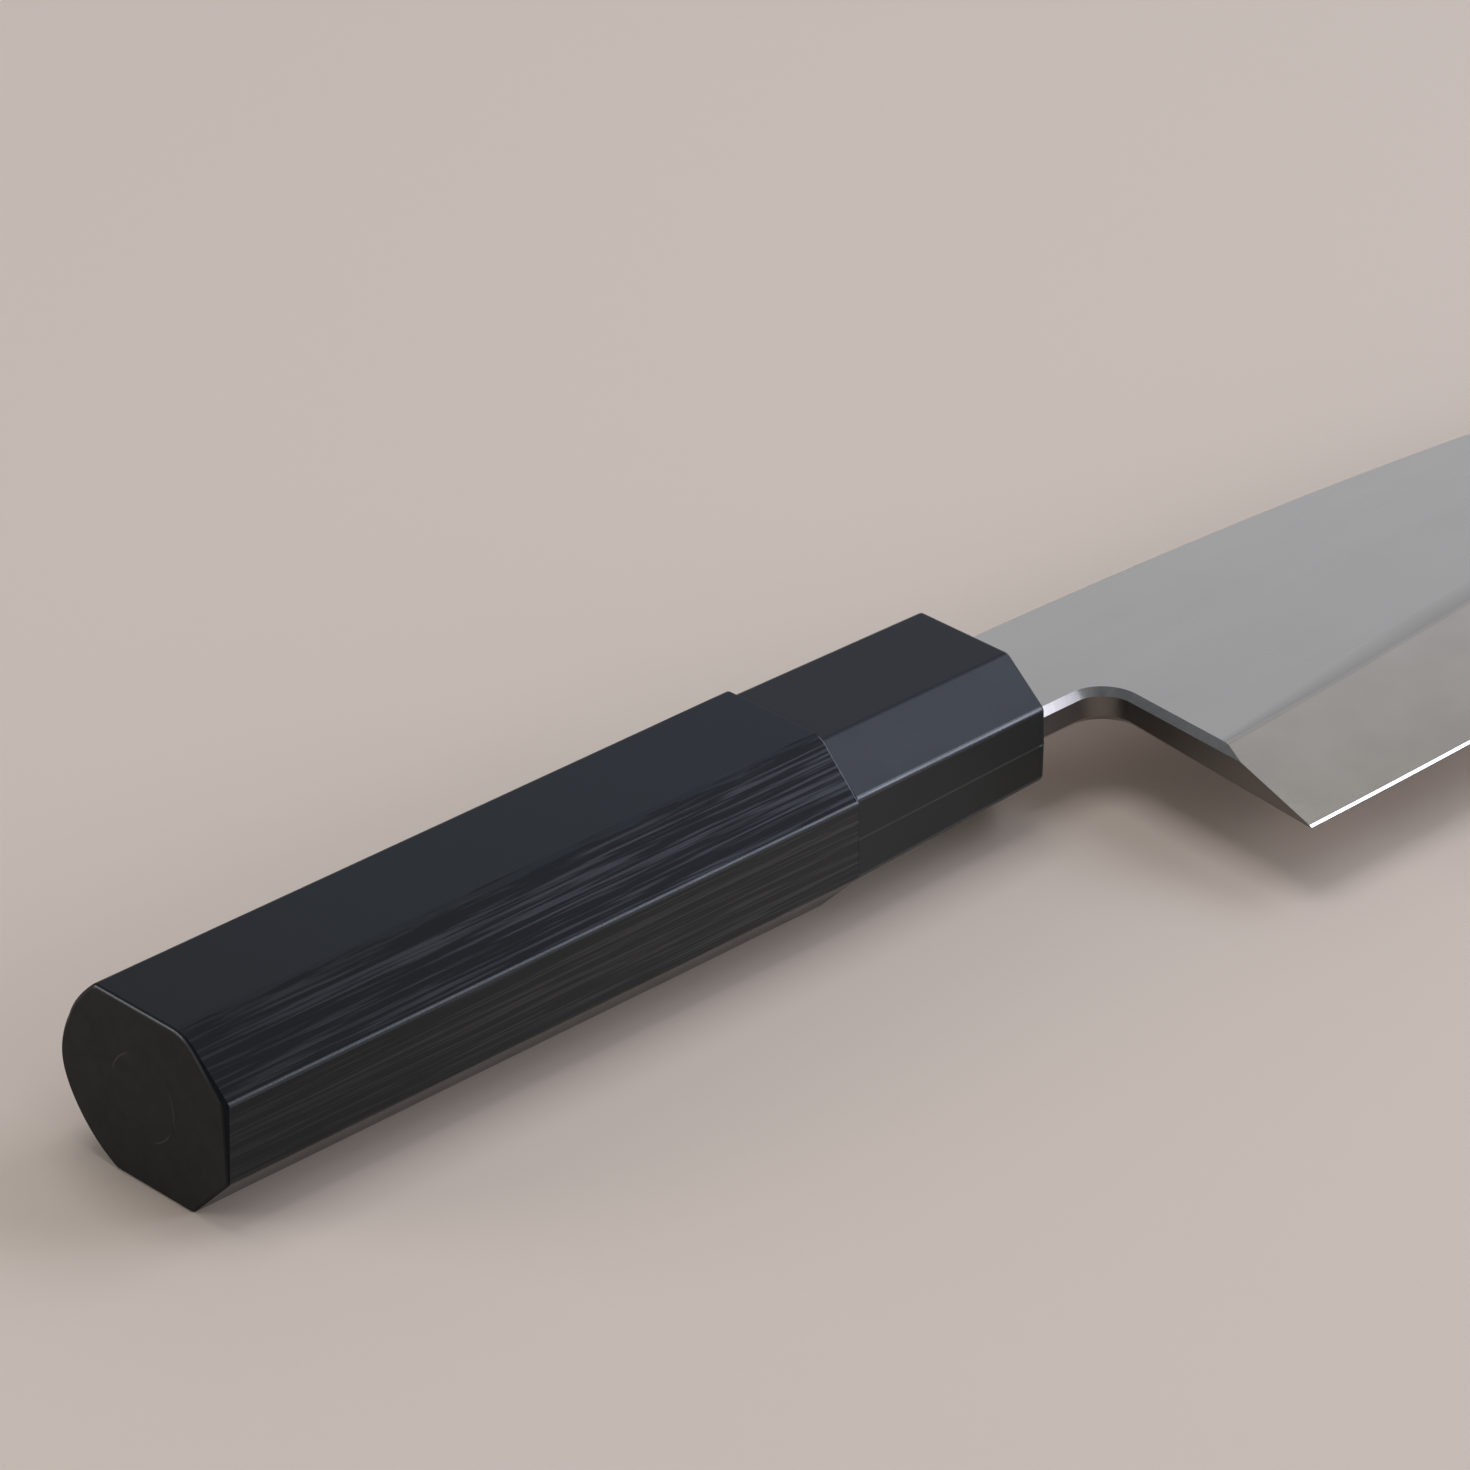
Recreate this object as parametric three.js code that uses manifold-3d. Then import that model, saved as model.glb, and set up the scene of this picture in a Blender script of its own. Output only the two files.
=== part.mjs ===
import * as THREE from "three";
import { mergeVertices } from "three/addons/utils/BufferGeometryUtils.js";
import Module from "manifold-3d";

const wasm = await Module();
wasm.setup();

// A deba knife for the right hand, lying on its flat side with its bevel up. All sizes are in millimetres.
// X runs along the handle to the point, Y from the cutting edge to the spine, and Z up.
// While the knife is laid out, X = 0 is the ferrule's front face, and Y = Z = 0 is the handle's axis.

// Grip: flats and chamfers on the edge side, round on the spine side
const gripLength = 97.4; // butt to ferrule
const gripHeight = 23; // between the upper and lower flats
const gripWidth = 28.7; // from the flat on the edge side to the crown of the round side
const gripFlatReach = 7.9; // how far the upper and lower flats reach from the axis towards the edge side
const gripSideFlat = 10.1; // height of the flat on the edge side
const upperFlatReach = 7.65; // upper flat, from the axis to where the round side starts
const upperFlatAngle = THREE.MathUtils.degToRad(40); // how steeply the round side falls there
const upperFlatPull = 4.7; // how far it holds that direction
const lowerFlatReach = 5.15; // lower flat, from the axis to where the round side starts
const lowerFlatAngle = THREE.MathUtils.degToRad(22); // how steeply the round side climbs there
const lowerFlatPull = 5.2; // how far it holds that direction
const crownUpperPull = 4.4; // how far the crown stays upright above the middle
const crownLowerPull = 4; // and below it
const buttChamfer = 0.7; // round the rim of the butt

// Ferrule: eight-sided collar, narrower at the front
const ferruleLength = 32.6;
const ferruleFrontWall = 5; // the wall that the neck passes through
const ferruleWall = 2.2; // over the tenon, at the front
const gripStepFlats = 1.05; // how far the grip stands proud of the ferrule at the flats
const gripStepEdge = 0.3; // at the edge side
const gripStepSpine = 1.6; // at the crown of the spine side
const ferruleRearEdgeFlat = 10.7; // height of the edge side's flat at the seam
const ferruleFrontEdgeFlat = 9.5; // and at the front
const ferruleSpineFlat = 8.6; // height of the spine side's flat
const ferruleRearFlatReach = 7.4; // upper and lower flats, from the axis towards the edge side, at the seam
const ferruleFrontFlatReach = 6.8; // and at the front
const ferruleUpperReach = 7.85; // upper flat, from the axis towards the spine side
const ferruleLowerReach = 6.55; // lower flat, from the axis towards the spine side
const ferruleTaperHeight = 0.45; // how much lower the upper flat lies at the front
const ferruleTaperEdge = 1.05; // how much narrower the edge side is at the front
const ferruleTaperSpine = 0.6; // how much narrower the spine side is at the front

// Blade
const bladeThickness = 4.6; // at the neck and the heel
const pointThickness = 2; // of the plate at the point, before the bevel
const edgeLength = 180; // heel to point, along X
const heelSetback = 10.5; // ferrule to the corner of the heel
const heelDrop = 46.7; // axis to the cutting edge at the heel
const heelLean = THREE.MathUtils.degToRad(4.2); // of the heel's back
const choilRadius = 4.3; // between the neck and the heel's back
const neckSpine = 9.85; // axis to the spine at the neck
const neckEdge = 10.25; // axis to the underside of the neck
const plateChamfer = 0.9; // along the spine, the neck and the heel's back, on the bevel side
const pointDrop = 14.85; // axis to the point
const spineStraight = 70; // pull of the straight stretch on the spine's curve
const spinePointPull = 58.8; // pull of the point on the spine's curve
const spinePointAngle = THREE.MathUtils.degToRad(19.4); // fall of the spine at the point
const edgeStraight = 69.5; // pull of the straight stretch on the edge's curve
const edgeRise = THREE.MathUtils.degToRad(0.66); // of the edge at the heel
const edgePointPull = 47; // pull of the point on the edge's curve
const edgePointAngle = THREE.MathUtils.degToRad(35); // rise of the edge at the point

// Bevel, from the ridge line down to the cutting edge, and the hollow of the flat side
const bevelWidth = 15.55; // edge to ridge line at the heel
const ridgeRise = THREE.MathUtils.degToRad(4.5); // of the ridge line at the heel
const ridgeStraight = 63; // pull of the heel on the ridge line's curve
const ridgePointPull = 50; // pull of the point on the ridge line's curve
const ridgePointAngle = THREE.MathUtils.degToRad(7); // rise of the ridge line at the point
const ridgePointOffset = 5; // how far past the spine the ridge line is drawn at the point
const honedWidth = 0.6; // small bevel at the very edge
const honedThickness = 0.4; // where it starts
const edgeThickness = 0.12; // what is left at the edge itself
const hollowDepth = 0.35; // of the flat side, at its middle
const hollowRim = 4; // flat rim left round the hollow
const hollowLeastWidth = 4; // where the hollow ends towards the point

// Tang, bore and adhesive
const boreDiameter = 12; // right through the grip and its tenon
const plugLength = 12; // of the plug that closes the bore at the butt
const tangEndGap = 6; // tang to plug
const tangTaper = 2.4; // how much lower the tang is at its end
const shoulderGap = 0.5; // neck's shoulder to the inner face of the ferrule's front wall
const adhesiveSkin = 0.6; // least wall of adhesive at the tang's corners
const tenonWidth = 18; // across the grip's tenon, along Y
const tenonCorner = 4; // radius of the tenon's corners

// Fits
const glueGap = 0.3; // between bonded pieces
const slotGap = 0.2; // round the neck in the ferrule's front wall
const cutMargin = 5; // how far a cut is carried past what it cuts
const weldDistance = 1e-4; // corners closer than this are one

// Steps on round and curved stretches
const arcSteps = 12;
const curveSteps = 28;
const boreSteps = 40;

// Places that several pieces share
const seamX = -ferruleLength;
const buttX = seamX - gripLength;
const wallX = -ferruleFrontWall;
const shoulderX = wallX + shoulderGap;
const tenonEndX = wallX - glueGap;
const plugX = buttX + plugLength;
const tangEndX = plugX + tangEndGap;
const pointX = heelSetback + edgeLength;
const flatZ = gripHeight / 2;
const sideY = gripWidth / 2;
const bladeZ = bladeThickness / 2;
const boreRadius = boreDiameter / 2;
const bondRadius = boreRadius - glueGap;

// The tang is as high at its shoulder as the bore takes, with a skin of adhesive over its corners.
const tangCornerRadius = bondRadius - adhesiveSkin - glueGap;
const tangHeight = 2 * Math.sqrt(tangCornerRadius ** 2 - bladeZ ** 2);
const tangEndHeight = tangHeight - tangTaper;

// The tenon leaves the ferrule's full wall over its upper and lower faces, even at the low front end.
const ferruleFrontZ = flatZ - gripStepFlats - ferruleTaperHeight;
const socketHeight = 2 * (ferruleFrontZ - ferruleWall);
const socketWidth = tenonWidth + 2 * glueGap;
const tenonHeight = socketHeight - 2 * glueGap;

// Shapes drawn in Y and Z are extruded along X.
const alongX = new THREE.Matrix4().makeBasis(
  new THREE.Vector3(0, 1, 0),
  new THREE.Vector3(0, 0, 1),
  new THREE.Vector3(1, 0, 0),
);

function solid(geometry) {
  const bare = new THREE.BufferGeometry();
  bare.setAttribute("position", geometry.getAttribute("position"));
  bare.setIndex(geometry.index);
  const merged = mergeVertices(bare, weldDistance);
  return new wasm.Manifold(
    new wasm.Mesh({
      numProp: 3,
      vertProperties: new Float32Array(merged.getAttribute("position").array),
      triVerts: new Uint32Array(merged.index.array),
    }),
  );
}

function geometryOf(body) {
  const { vertProperties, triVerts } = body.getMesh();
  const geometry = new THREE.BufferGeometry();
  geometry.setAttribute("position", new THREE.BufferAttribute(vertProperties, 3));
  geometry.setIndex(new THREE.BufferAttribute(triVerts, 1));
  const flat = geometry.toNonIndexed();
  flat.computeVertexNormals();
  return flat;
}

function extrudeAlongX(shape, fromX, toX) {
  const geometry = new THREE.ExtrudeGeometry(shape, {
    depth: toX - fromX,
    bevelEnabled: false,
    curveSegments: arcSteps,
  });
  return geometry.applyMatrix4(alongX).translate(fromX, 0, 0);
}

function box(fromX, toX, fromY, toY, fromZ, toZ) {
  const geometry = new THREE.BoxGeometry(toX - fromX, toY - fromY, toZ - fromZ);
  return geometry.translate((fromX + toX) / 2, (fromY + toY) / 2, (fromZ + toZ) / 2);
}

function rod(radius, fromX, toX) {
  const geometry = new THREE.CylinderGeometry(radius, radius, toX - fromX, boreSteps);
  return geometry.rotateZ(Math.PI / 2).translate((fromX + toX) / 2, 0, 0);
}

// Closed skin through a row of sections along X, each a convex ring of points that turns from Y towards Z
function loft(sections) {
  const count = sections[0].length;
  const points = sections.flat();
  const faces = [];
  for (let s = 0; s + 1 < sections.length; s++) {
    for (let i = 0; i < count; i++) {
      const a = s * count + i;
      const b = s * count + ((i + 1) % count);
      faces.push(a, b, b + count, a, b + count, a + count);
    }
  }
  const last = (sections.length - 1) * count;
  for (let i = 1; i + 1 < count; i++) {
    faces.push(0, i + 1, i, last, last + i, last + i + 1);
  }
  const geometry = new THREE.BufferGeometry().setFromPoints(points);
  geometry.setIndex(faces);
  return geometry;
}

function roundedRectangle(width, height, corner) {
  const y = width / 2 - corner;
  const z = height / 2 - corner;
  const shape = new THREE.Shape();
  shape.absarc(y, z, corner, 0, Math.PI / 2);
  shape.absarc(-y, z, corner, Math.PI / 2, Math.PI);
  shape.absarc(-y, -z, corner, Math.PI, 1.5 * Math.PI);
  shape.absarc(y, -z, corner, 1.5 * Math.PI, 2 * Math.PI);
  shape.closePath();
  return shape;
}

// The place that lies a length away from another, in a direction given as an angle
function away(from, length, angle) {
  return new THREE.Vector2(from.x + length * Math.cos(angle), from.y + length * Math.sin(angle));
}

function bezierTo(shape, firstPull, secondPull, end) {
  shape.bezierCurveTo(firstPull.x, firstPull.y, secondPull.x, secondPull.y, end.x, end.y);
}

function gripSection() {
  const lowerEnd = new THREE.Vector2(lowerFlatReach, -flatZ);
  const upperEnd = new THREE.Vector2(upperFlatReach, flatZ);
  const crown = new THREE.Vector2(sideY, 0);
  const shape = new THREE.Shape();
  shape.moveTo(-gripFlatReach, flatZ);
  shape.lineTo(-sideY, gripSideFlat / 2);
  shape.lineTo(-sideY, -gripSideFlat / 2);
  shape.lineTo(-gripFlatReach, -flatZ);
  shape.lineTo(lowerEnd.x, lowerEnd.y);
  bezierTo(
    shape,
    away(lowerEnd, lowerFlatPull, lowerFlatAngle),
    away(crown, crownLowerPull, -Math.PI / 2),
    crown,
  );
  bezierTo(
    shape,
    away(crown, crownUpperPull, Math.PI / 2),
    away(upperEnd, upperFlatPull, -upperFlatAngle),
    upperEnd,
  );
  shape.closePath();
  return shape;
}

// The butt's chamfer comes from the extrusion's bevel. The far end is cut off square at the seam.
function grip() {
  const length = gripLength + cutMargin;
  const stock = new THREE.ExtrudeGeometry(gripSection(), {
    depth: length - 2 * buttChamfer,
    bevelThickness: buttChamfer,
    bevelSize: buttChamfer,
    bevelOffset: -buttChamfer,
    bevelSegments: 1,
    curveSegments: arcSteps,
  });
  stock.applyMatrix4(alongX).translate(buttX + buttChamfer, 0, 0);
  const beyondSeam = box(seamX, seamX + 2 * cutMargin, -gripWidth, gripWidth, -gripHeight, gripHeight);
  const tenonShape = roundedRectangle(tenonWidth, tenonHeight, tenonCorner);
  const tenon = extrudeAlongX(tenonShape, seamX - cutMargin, tenonEndX);
  const bore = rod(boreRadius, buttX - cutMargin, tenonEndX + cutMargin);
  return solid(stock).subtract(solid(beyondSeam)).add(solid(tenon)).subtract(solid(bore));
}

function ferruleSection(x, upperZ, edgeY, edgeFlat, flatReach, spineY) {
  const corners = [
    [-flatReach, upperZ],
    [-edgeY, edgeFlat / 2],
    [-edgeY, -edgeFlat / 2],
    [-flatReach, -upperZ],
    [ferruleLowerReach, -upperZ],
    [spineY, -ferruleSpineFlat / 2],
    [spineY, ferruleSpineFlat / 2],
    [ferruleUpperReach, upperZ],
  ];
  return corners.map(([y, z]) => new THREE.Vector3(x, y, z));
}

function ferrule() {
  const rearEdge = sideY - gripStepEdge;
  const rearSpine = sideY - gripStepSpine;
  const rear = ferruleSection(
    seamX,
    flatZ - gripStepFlats,
    rearEdge,
    ferruleRearEdgeFlat,
    ferruleRearFlatReach,
    rearSpine,
  );
  const front = ferruleSection(
    0,
    ferruleFrontZ,
    rearEdge - ferruleTaperEdge,
    ferruleFrontEdgeFlat,
    ferruleFrontFlatReach,
    rearSpine - ferruleTaperSpine,
  );
  const socketShape = roundedRectangle(socketWidth, socketHeight, tenonCorner + glueGap);
  const socket = extrudeAlongX(socketShape, seamX - cutMargin, wallX);
  const slot = box(
    wallX - cutMargin,
    cutMargin,
    -neckEdge - slotGap,
    neckSpine + slotGap,
    -bladeZ - slotGap,
    bladeZ + slotGap,
  );
  return solid(loft([rear, front])).subtract(solid(socket)).subtract(solid(slot));
}

// Outlines of the blade, each drawn from the heel's end to the point
const heel = new THREE.Vector2(heelSetback, -heelDrop);
const point = new THREE.Vector2(pointX, -pointDrop);
const spineStart = new THREE.Vector2(heelSetback, neckSpine);
const spineCurve = new THREE.CubicBezierCurve(
  spineStart,
  away(spineStart, spineStraight, 0),
  away(point, spinePointPull, Math.PI - spinePointAngle),
  point,
);
const edgeCurve = new THREE.CubicBezierCurve(
  heel,
  away(heel, edgeStraight, edgeRise),
  away(point, edgePointPull, Math.PI + edgePointAngle),
  point,
);
const ridgeStart = away(heel, bevelWidth, Math.PI / 2 - heelLean);
const ridgeEnd = away(point, ridgePointOffset, Math.PI / 2);
const ridgeCurve = new THREE.CubicBezierCurve(
  ridgeStart,
  away(ridgeStart, ridgeStraight, ridgeRise),
  away(ridgeEnd, ridgePointPull, Math.PI + ridgePointAngle),
  ridgeEnd,
);

// The plate grows thinner at a steady rate from the heel to the point.
const plateTaper = (bladeThickness - pointThickness) / edgeLength;

function plateZ(x) {
  return bladeZ - plateTaper * (x - heelSetback);
}

function plateOutline() {
  const turn = Math.PI / 2 + heelLean;
  const setback = choilRadius * Math.tan(turn / 2);
  const cornerX = heelSetback + (heelDrop - neckEdge) * Math.tan(heelLean);
  const shape = new THREE.Shape();
  shape.moveTo(tangEndX, -tangEndHeight / 2);
  shape.lineTo(shoulderX, -tangHeight / 2);
  shape.lineTo(shoulderX, -neckEdge);
  shape.absarc(
    cornerX - setback,
    -neckEdge - choilRadius,
    choilRadius,
    Math.PI / 2,
    Math.PI / 2 - turn,
    true,
  );
  shape.lineTo(heel.x, heel.y);
  bezierTo(shape, edgeCurve.v1, edgeCurve.v2, point);
  bezierTo(shape, spineCurve.v2, spineCurve.v1, spineStart);
  shape.lineTo(shoulderX, neckSpine);
  shape.lineTo(shoulderX, tangHeight / 2);
  shape.lineTo(tangEndX, tangEndHeight / 2);
  shape.closePath();
  return shape;
}

// The plate's upper face is tilted by its taper, with its chamfer. Its lower face is cut flat.
function plate() {
  const depth = bladeThickness + cutMargin;
  const geometry = new THREE.ExtrudeGeometry(plateOutline(), {
    depth: depth - 2 * plateChamfer,
    bevelThickness: plateChamfer,
    bevelSize: plateChamfer,
    bevelOffset: -plateChamfer,
    bevelSegments: 1,
    curveSegments: curveSteps,
  });
  geometry.translate(0, 0, bladeZ - depth + plateChamfer);
  const position = geometry.getAttribute("position");
  for (let i = 0; i < position.count; i++) {
    if (position.getZ(i) > 0) {
      position.setZ(i, position.getZ(i) + plateZ(position.getX(i)) - bladeZ);
    }
  }
  const reach = heelDrop + cutMargin;
  const slab = box(buttX, pointX + cutMargin, -reach, reach, -bladeZ, bladeZ);
  return solid(geometry).intersect(solid(slab));
}

// One section of the space above the bevel: along the honed strip and the bevel, and over the plate
function bevelSection(edge, ridge) {
  const width = edge.distanceTo(ridge);
  const across = ridge.clone().sub(edge).divideScalar(width);
  const at = (distance, z) => {
    const place = edge.clone().addScaledVector(across, distance);
    return new THREE.Vector3(place.x, place.y, z);
  };
  const honedZ = honedThickness - bladeZ;
  const honedSlope = (honedThickness - edgeThickness) / honedWidth;
  const bevelSlope = (plateZ(ridge.x) - honedZ) / (width - honedWidth);
  const upperZ = plateZ(ridge.x) + bevelSlope * cutMargin;
  return [
    at(-honedWidth, edgeThickness - bladeZ - honedSlope * honedWidth),
    at(honedWidth, honedZ),
    at(width + cutMargin, upperZ),
    at(-honedWidth, upperZ),
  ];
}

function bevelSpace() {
  const sections = [];
  const shifted = (p, x) => new THREE.Vector2(p.x + x, p.y);
  sections.push(bevelSection(shifted(heel, -cutMargin), shifted(ridgeStart, -cutMargin)));
  for (let i = 0; i <= curveSteps; i++) {
    sections.push(bevelSection(edgeCurve.getPoint(i / curveSteps), ridgeCurve.getPoint(i / curveSteps)));
  }
  sections.push(bevelSection(shifted(point, cutMargin), shifted(ridgeEnd, cutMargin)));
  return loft(sections);
}

// The flat side is ground hollow between its rims, deepest in the middle.
function hollowSpace() {
  const sections = [];
  for (let i = 1; i < curveSteps; i++) {
    const along = i / curveSteps;
    const edge = edgeCurve.getPoint(along);
    const spine = spineCurve.getPoint(along);
    const width = edge.distanceTo(spine);
    if (width > 2 * hollowRim + hollowLeastWidth) {
      const depth = hollowDepth * (1 - (2 * along - 1) ** 4);
      const at = (across, height) => {
        const inset = hollowRim + across * (width - 2 * hollowRim);
        const place = edge.clone().lerp(spine, inset / width);
        return new THREE.Vector3(place.x, place.y, height - bladeZ);
      };
      const section = [at(0, -cutMargin), at(1, -cutMargin)];
      for (let j = arcSteps; j >= 0; j--) {
        const across = j / arcSteps;
        section.push(at(across, depth * (1 - (2 * across - 1) ** 2)));
      }
      sections.push(section);
    }
  }
  return loft(sections);
}

function blade() {
  return plate().subtract(solid(bevelSpace())).subtract(solid(hollowSpace()));
}

function tangAdhesive() {
  const shape = new THREE.Shape();
  const endX = tangEndX - glueGap;
  const slope = (tangHeight - tangEndHeight) / 2 / (shoulderX - tangEndX);
  const halfHeight = (x) => tangHeight / 2 + glueGap + slope * (x - shoulderX);
  const frontX = tenonEndX + cutMargin;
  shape.moveTo(endX, -halfHeight(endX));
  shape.lineTo(frontX, -halfHeight(frontX));
  shape.lineTo(frontX, halfHeight(frontX));
  shape.lineTo(endX, halfHeight(endX));
  shape.closePath();
  const depth = bladeThickness + 2 * glueGap;
  const tangSpace = new THREE.ExtrudeGeometry(shape, { depth, bevelEnabled: false });
  tangSpace.translate(0, 0, -depth / 2);
  return solid(rod(bondRadius, plugX + glueGap, tenonEndX)).subtract(solid(tangSpace));
}

function buttPlug() {
  return solid(rod(bondRadius, buttX, plugX));
}

const bladeSteel = new THREE.MeshStandardMaterial({ color: 0x9c9c9e, roughness: 0.35, metalness: 1 });
const ferruleResin = new THREE.MeshStandardMaterial({ color: 0x2b2e35, roughness: 0.5, metalness: 0 });
const gripWood = new THREE.MeshStandardMaterial({ color: 0x23252b, roughness: 0.6, metalness: 0 });
const plugWood = new THREE.MeshStandardMaterial({ color: 0x26262a, roughness: 0.65, metalness: 0 });
const adhesive = new THREE.MeshStandardMaterial({ color: 0xc9b27a, roughness: 0.3, metalness: 0 });

// The knife's origin is under the middle of its box, on the plane of the grip's lower flat.
const knife = new THREE.Group();
knife.position.set(-(buttX + pointX) / 2, (heelDrop - sideY) / 2, flatZ);

function addPiece(name, body, material) {
  const mesh = new THREE.Mesh(geometryOf(body), material);
  mesh.name = name;
  knife.add(mesh);
}

addPiece("blade", blade(), bladeSteel);
addPiece("ferrule", ferrule(), ferruleResin);
addPiece("grip", grip(), gripWood);
addPiece("tang_adhesive", tangAdhesive(), adhesive);
addPiece("butt_plug", buttPlug(), plugWood);

const part = new THREE.Group();
part.add(knife);

export default part;
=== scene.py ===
"""Deba knife: the finished surfaces of a single-bevel kitchen knife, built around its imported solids."""

import math

import bmesh
import bpy
from bpy.props import FloatProperty, FloatVectorProperty, IntProperty, PointerProperty
from bpy.types import Operator, Panel, PropertyGroup
from mathutils import Matrix, Vector
from mathutils.geometry import interpolate_bezier, intersect_point_line


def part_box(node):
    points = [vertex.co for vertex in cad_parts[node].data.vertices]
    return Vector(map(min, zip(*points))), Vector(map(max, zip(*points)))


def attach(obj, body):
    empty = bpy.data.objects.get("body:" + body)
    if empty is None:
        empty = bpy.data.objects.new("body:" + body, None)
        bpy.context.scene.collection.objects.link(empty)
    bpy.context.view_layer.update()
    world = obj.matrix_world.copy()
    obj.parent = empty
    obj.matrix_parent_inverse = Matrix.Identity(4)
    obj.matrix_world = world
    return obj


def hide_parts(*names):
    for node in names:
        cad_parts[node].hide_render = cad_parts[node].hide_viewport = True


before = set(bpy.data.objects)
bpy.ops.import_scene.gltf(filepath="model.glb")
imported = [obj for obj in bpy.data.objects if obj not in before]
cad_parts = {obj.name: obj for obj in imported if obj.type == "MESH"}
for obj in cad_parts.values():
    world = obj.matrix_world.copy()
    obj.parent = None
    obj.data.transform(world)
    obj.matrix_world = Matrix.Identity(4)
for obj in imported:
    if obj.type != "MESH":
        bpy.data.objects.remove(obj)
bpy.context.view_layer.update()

bl_info = {
    "name": "Deba Knife",
    "version": (1, 0, 0),
    "blender": (4, 5, 0),
    "location": "3D View > Sidebar > Deba Knife",
    "description": "Builds the finished pieces of a deba knife, and a stage to show it on",
    "category": "Add Mesh",
}

WELD = 2e-7  # corners closer than this, in metres, are one
SMOOTH_ANGLE = math.radians(24)  # faces that meet at less than this are shaded as one

# How much of an edge's run, or of a face's normal, lies along an axis
ALONG = 0.99
TAPERED = 0.9
SQUARE_ON = 0.95
SLANTED = 0.5
TURNED = 0.3
LEANING = 0.2

# Steps round a turned piece, a round corner in section and a rounded edge
ROD_STEPS = 96
CORNER_STEPS = 8
ROUND_STEPS = 4
RIM_STEPS = 2

# Places that the solids fix. Pieces are drawn about the handle's axis, with X = 0 at the ferrule's front.
BLADE_LOW, BLADE_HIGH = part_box("blade")
FERRULE_LOW, FERRULE_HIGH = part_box("ferrule")
GRIP_LOW, GRIP_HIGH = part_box("grip")
PLUG_LOW, PLUG_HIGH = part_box("butt_plug")
GRIP_MIDDLE = (GRIP_LOW + GRIP_HIGH) / 2
AXIS = Vector((FERRULE_HIGH.x, GRIP_MIDDLE.y, GRIP_MIDDLE.z))
GRIP_SIDE = GRIP_HIGH.y - AXIS.y
GRIP_FLAT = GRIP_HIGH.z - AXIS.z
BUTT_X = GRIP_LOW.x - AXIS.x
SEAM_X = FERRULE_LOW.x - AXIS.x
TENON_X = GRIP_HIGH.x - AXIS.x
PLUG_X = PLUG_HIGH.x - AXIS.x
BORE_RADIUS = (PLUG_HIGH.z - PLUG_LOW.z) / 2
TANG_X = BLADE_LOW.x - AXIS.x
POINT_X = BLADE_HIGH.x - AXIS.x
BLADE_Z = (BLADE_HIGH.z - BLADE_LOW.z) / 2
HEEL_DROP = AXIS.y - BLADE_LOW.y
NECK_SPINE = BLADE_HIGH.y - AXIS.y


def length(name, default, description):
    """A size in metres"""
    return FloatProperty(name=name, description=description, default=default, unit="LENGTH", precision=5)


def angle(name, degrees, description):
    """An angle, shown in degrees"""
    default = math.radians(degrees)
    return FloatProperty(name=name, description=description, default=default, subtype="ANGLE")


def colour(name, default, description):
    """A plain linear colour"""
    return FloatVectorProperty(
        name=name, description=description, default=default, size=3, subtype="COLOR", min=0, max=1
    )


def share(name, default, description):
    """A number from 0 to 1"""
    return FloatProperty(
        name=name, description=description, default=default, subtype="FACTOR", min=0, max=1
    )


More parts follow.
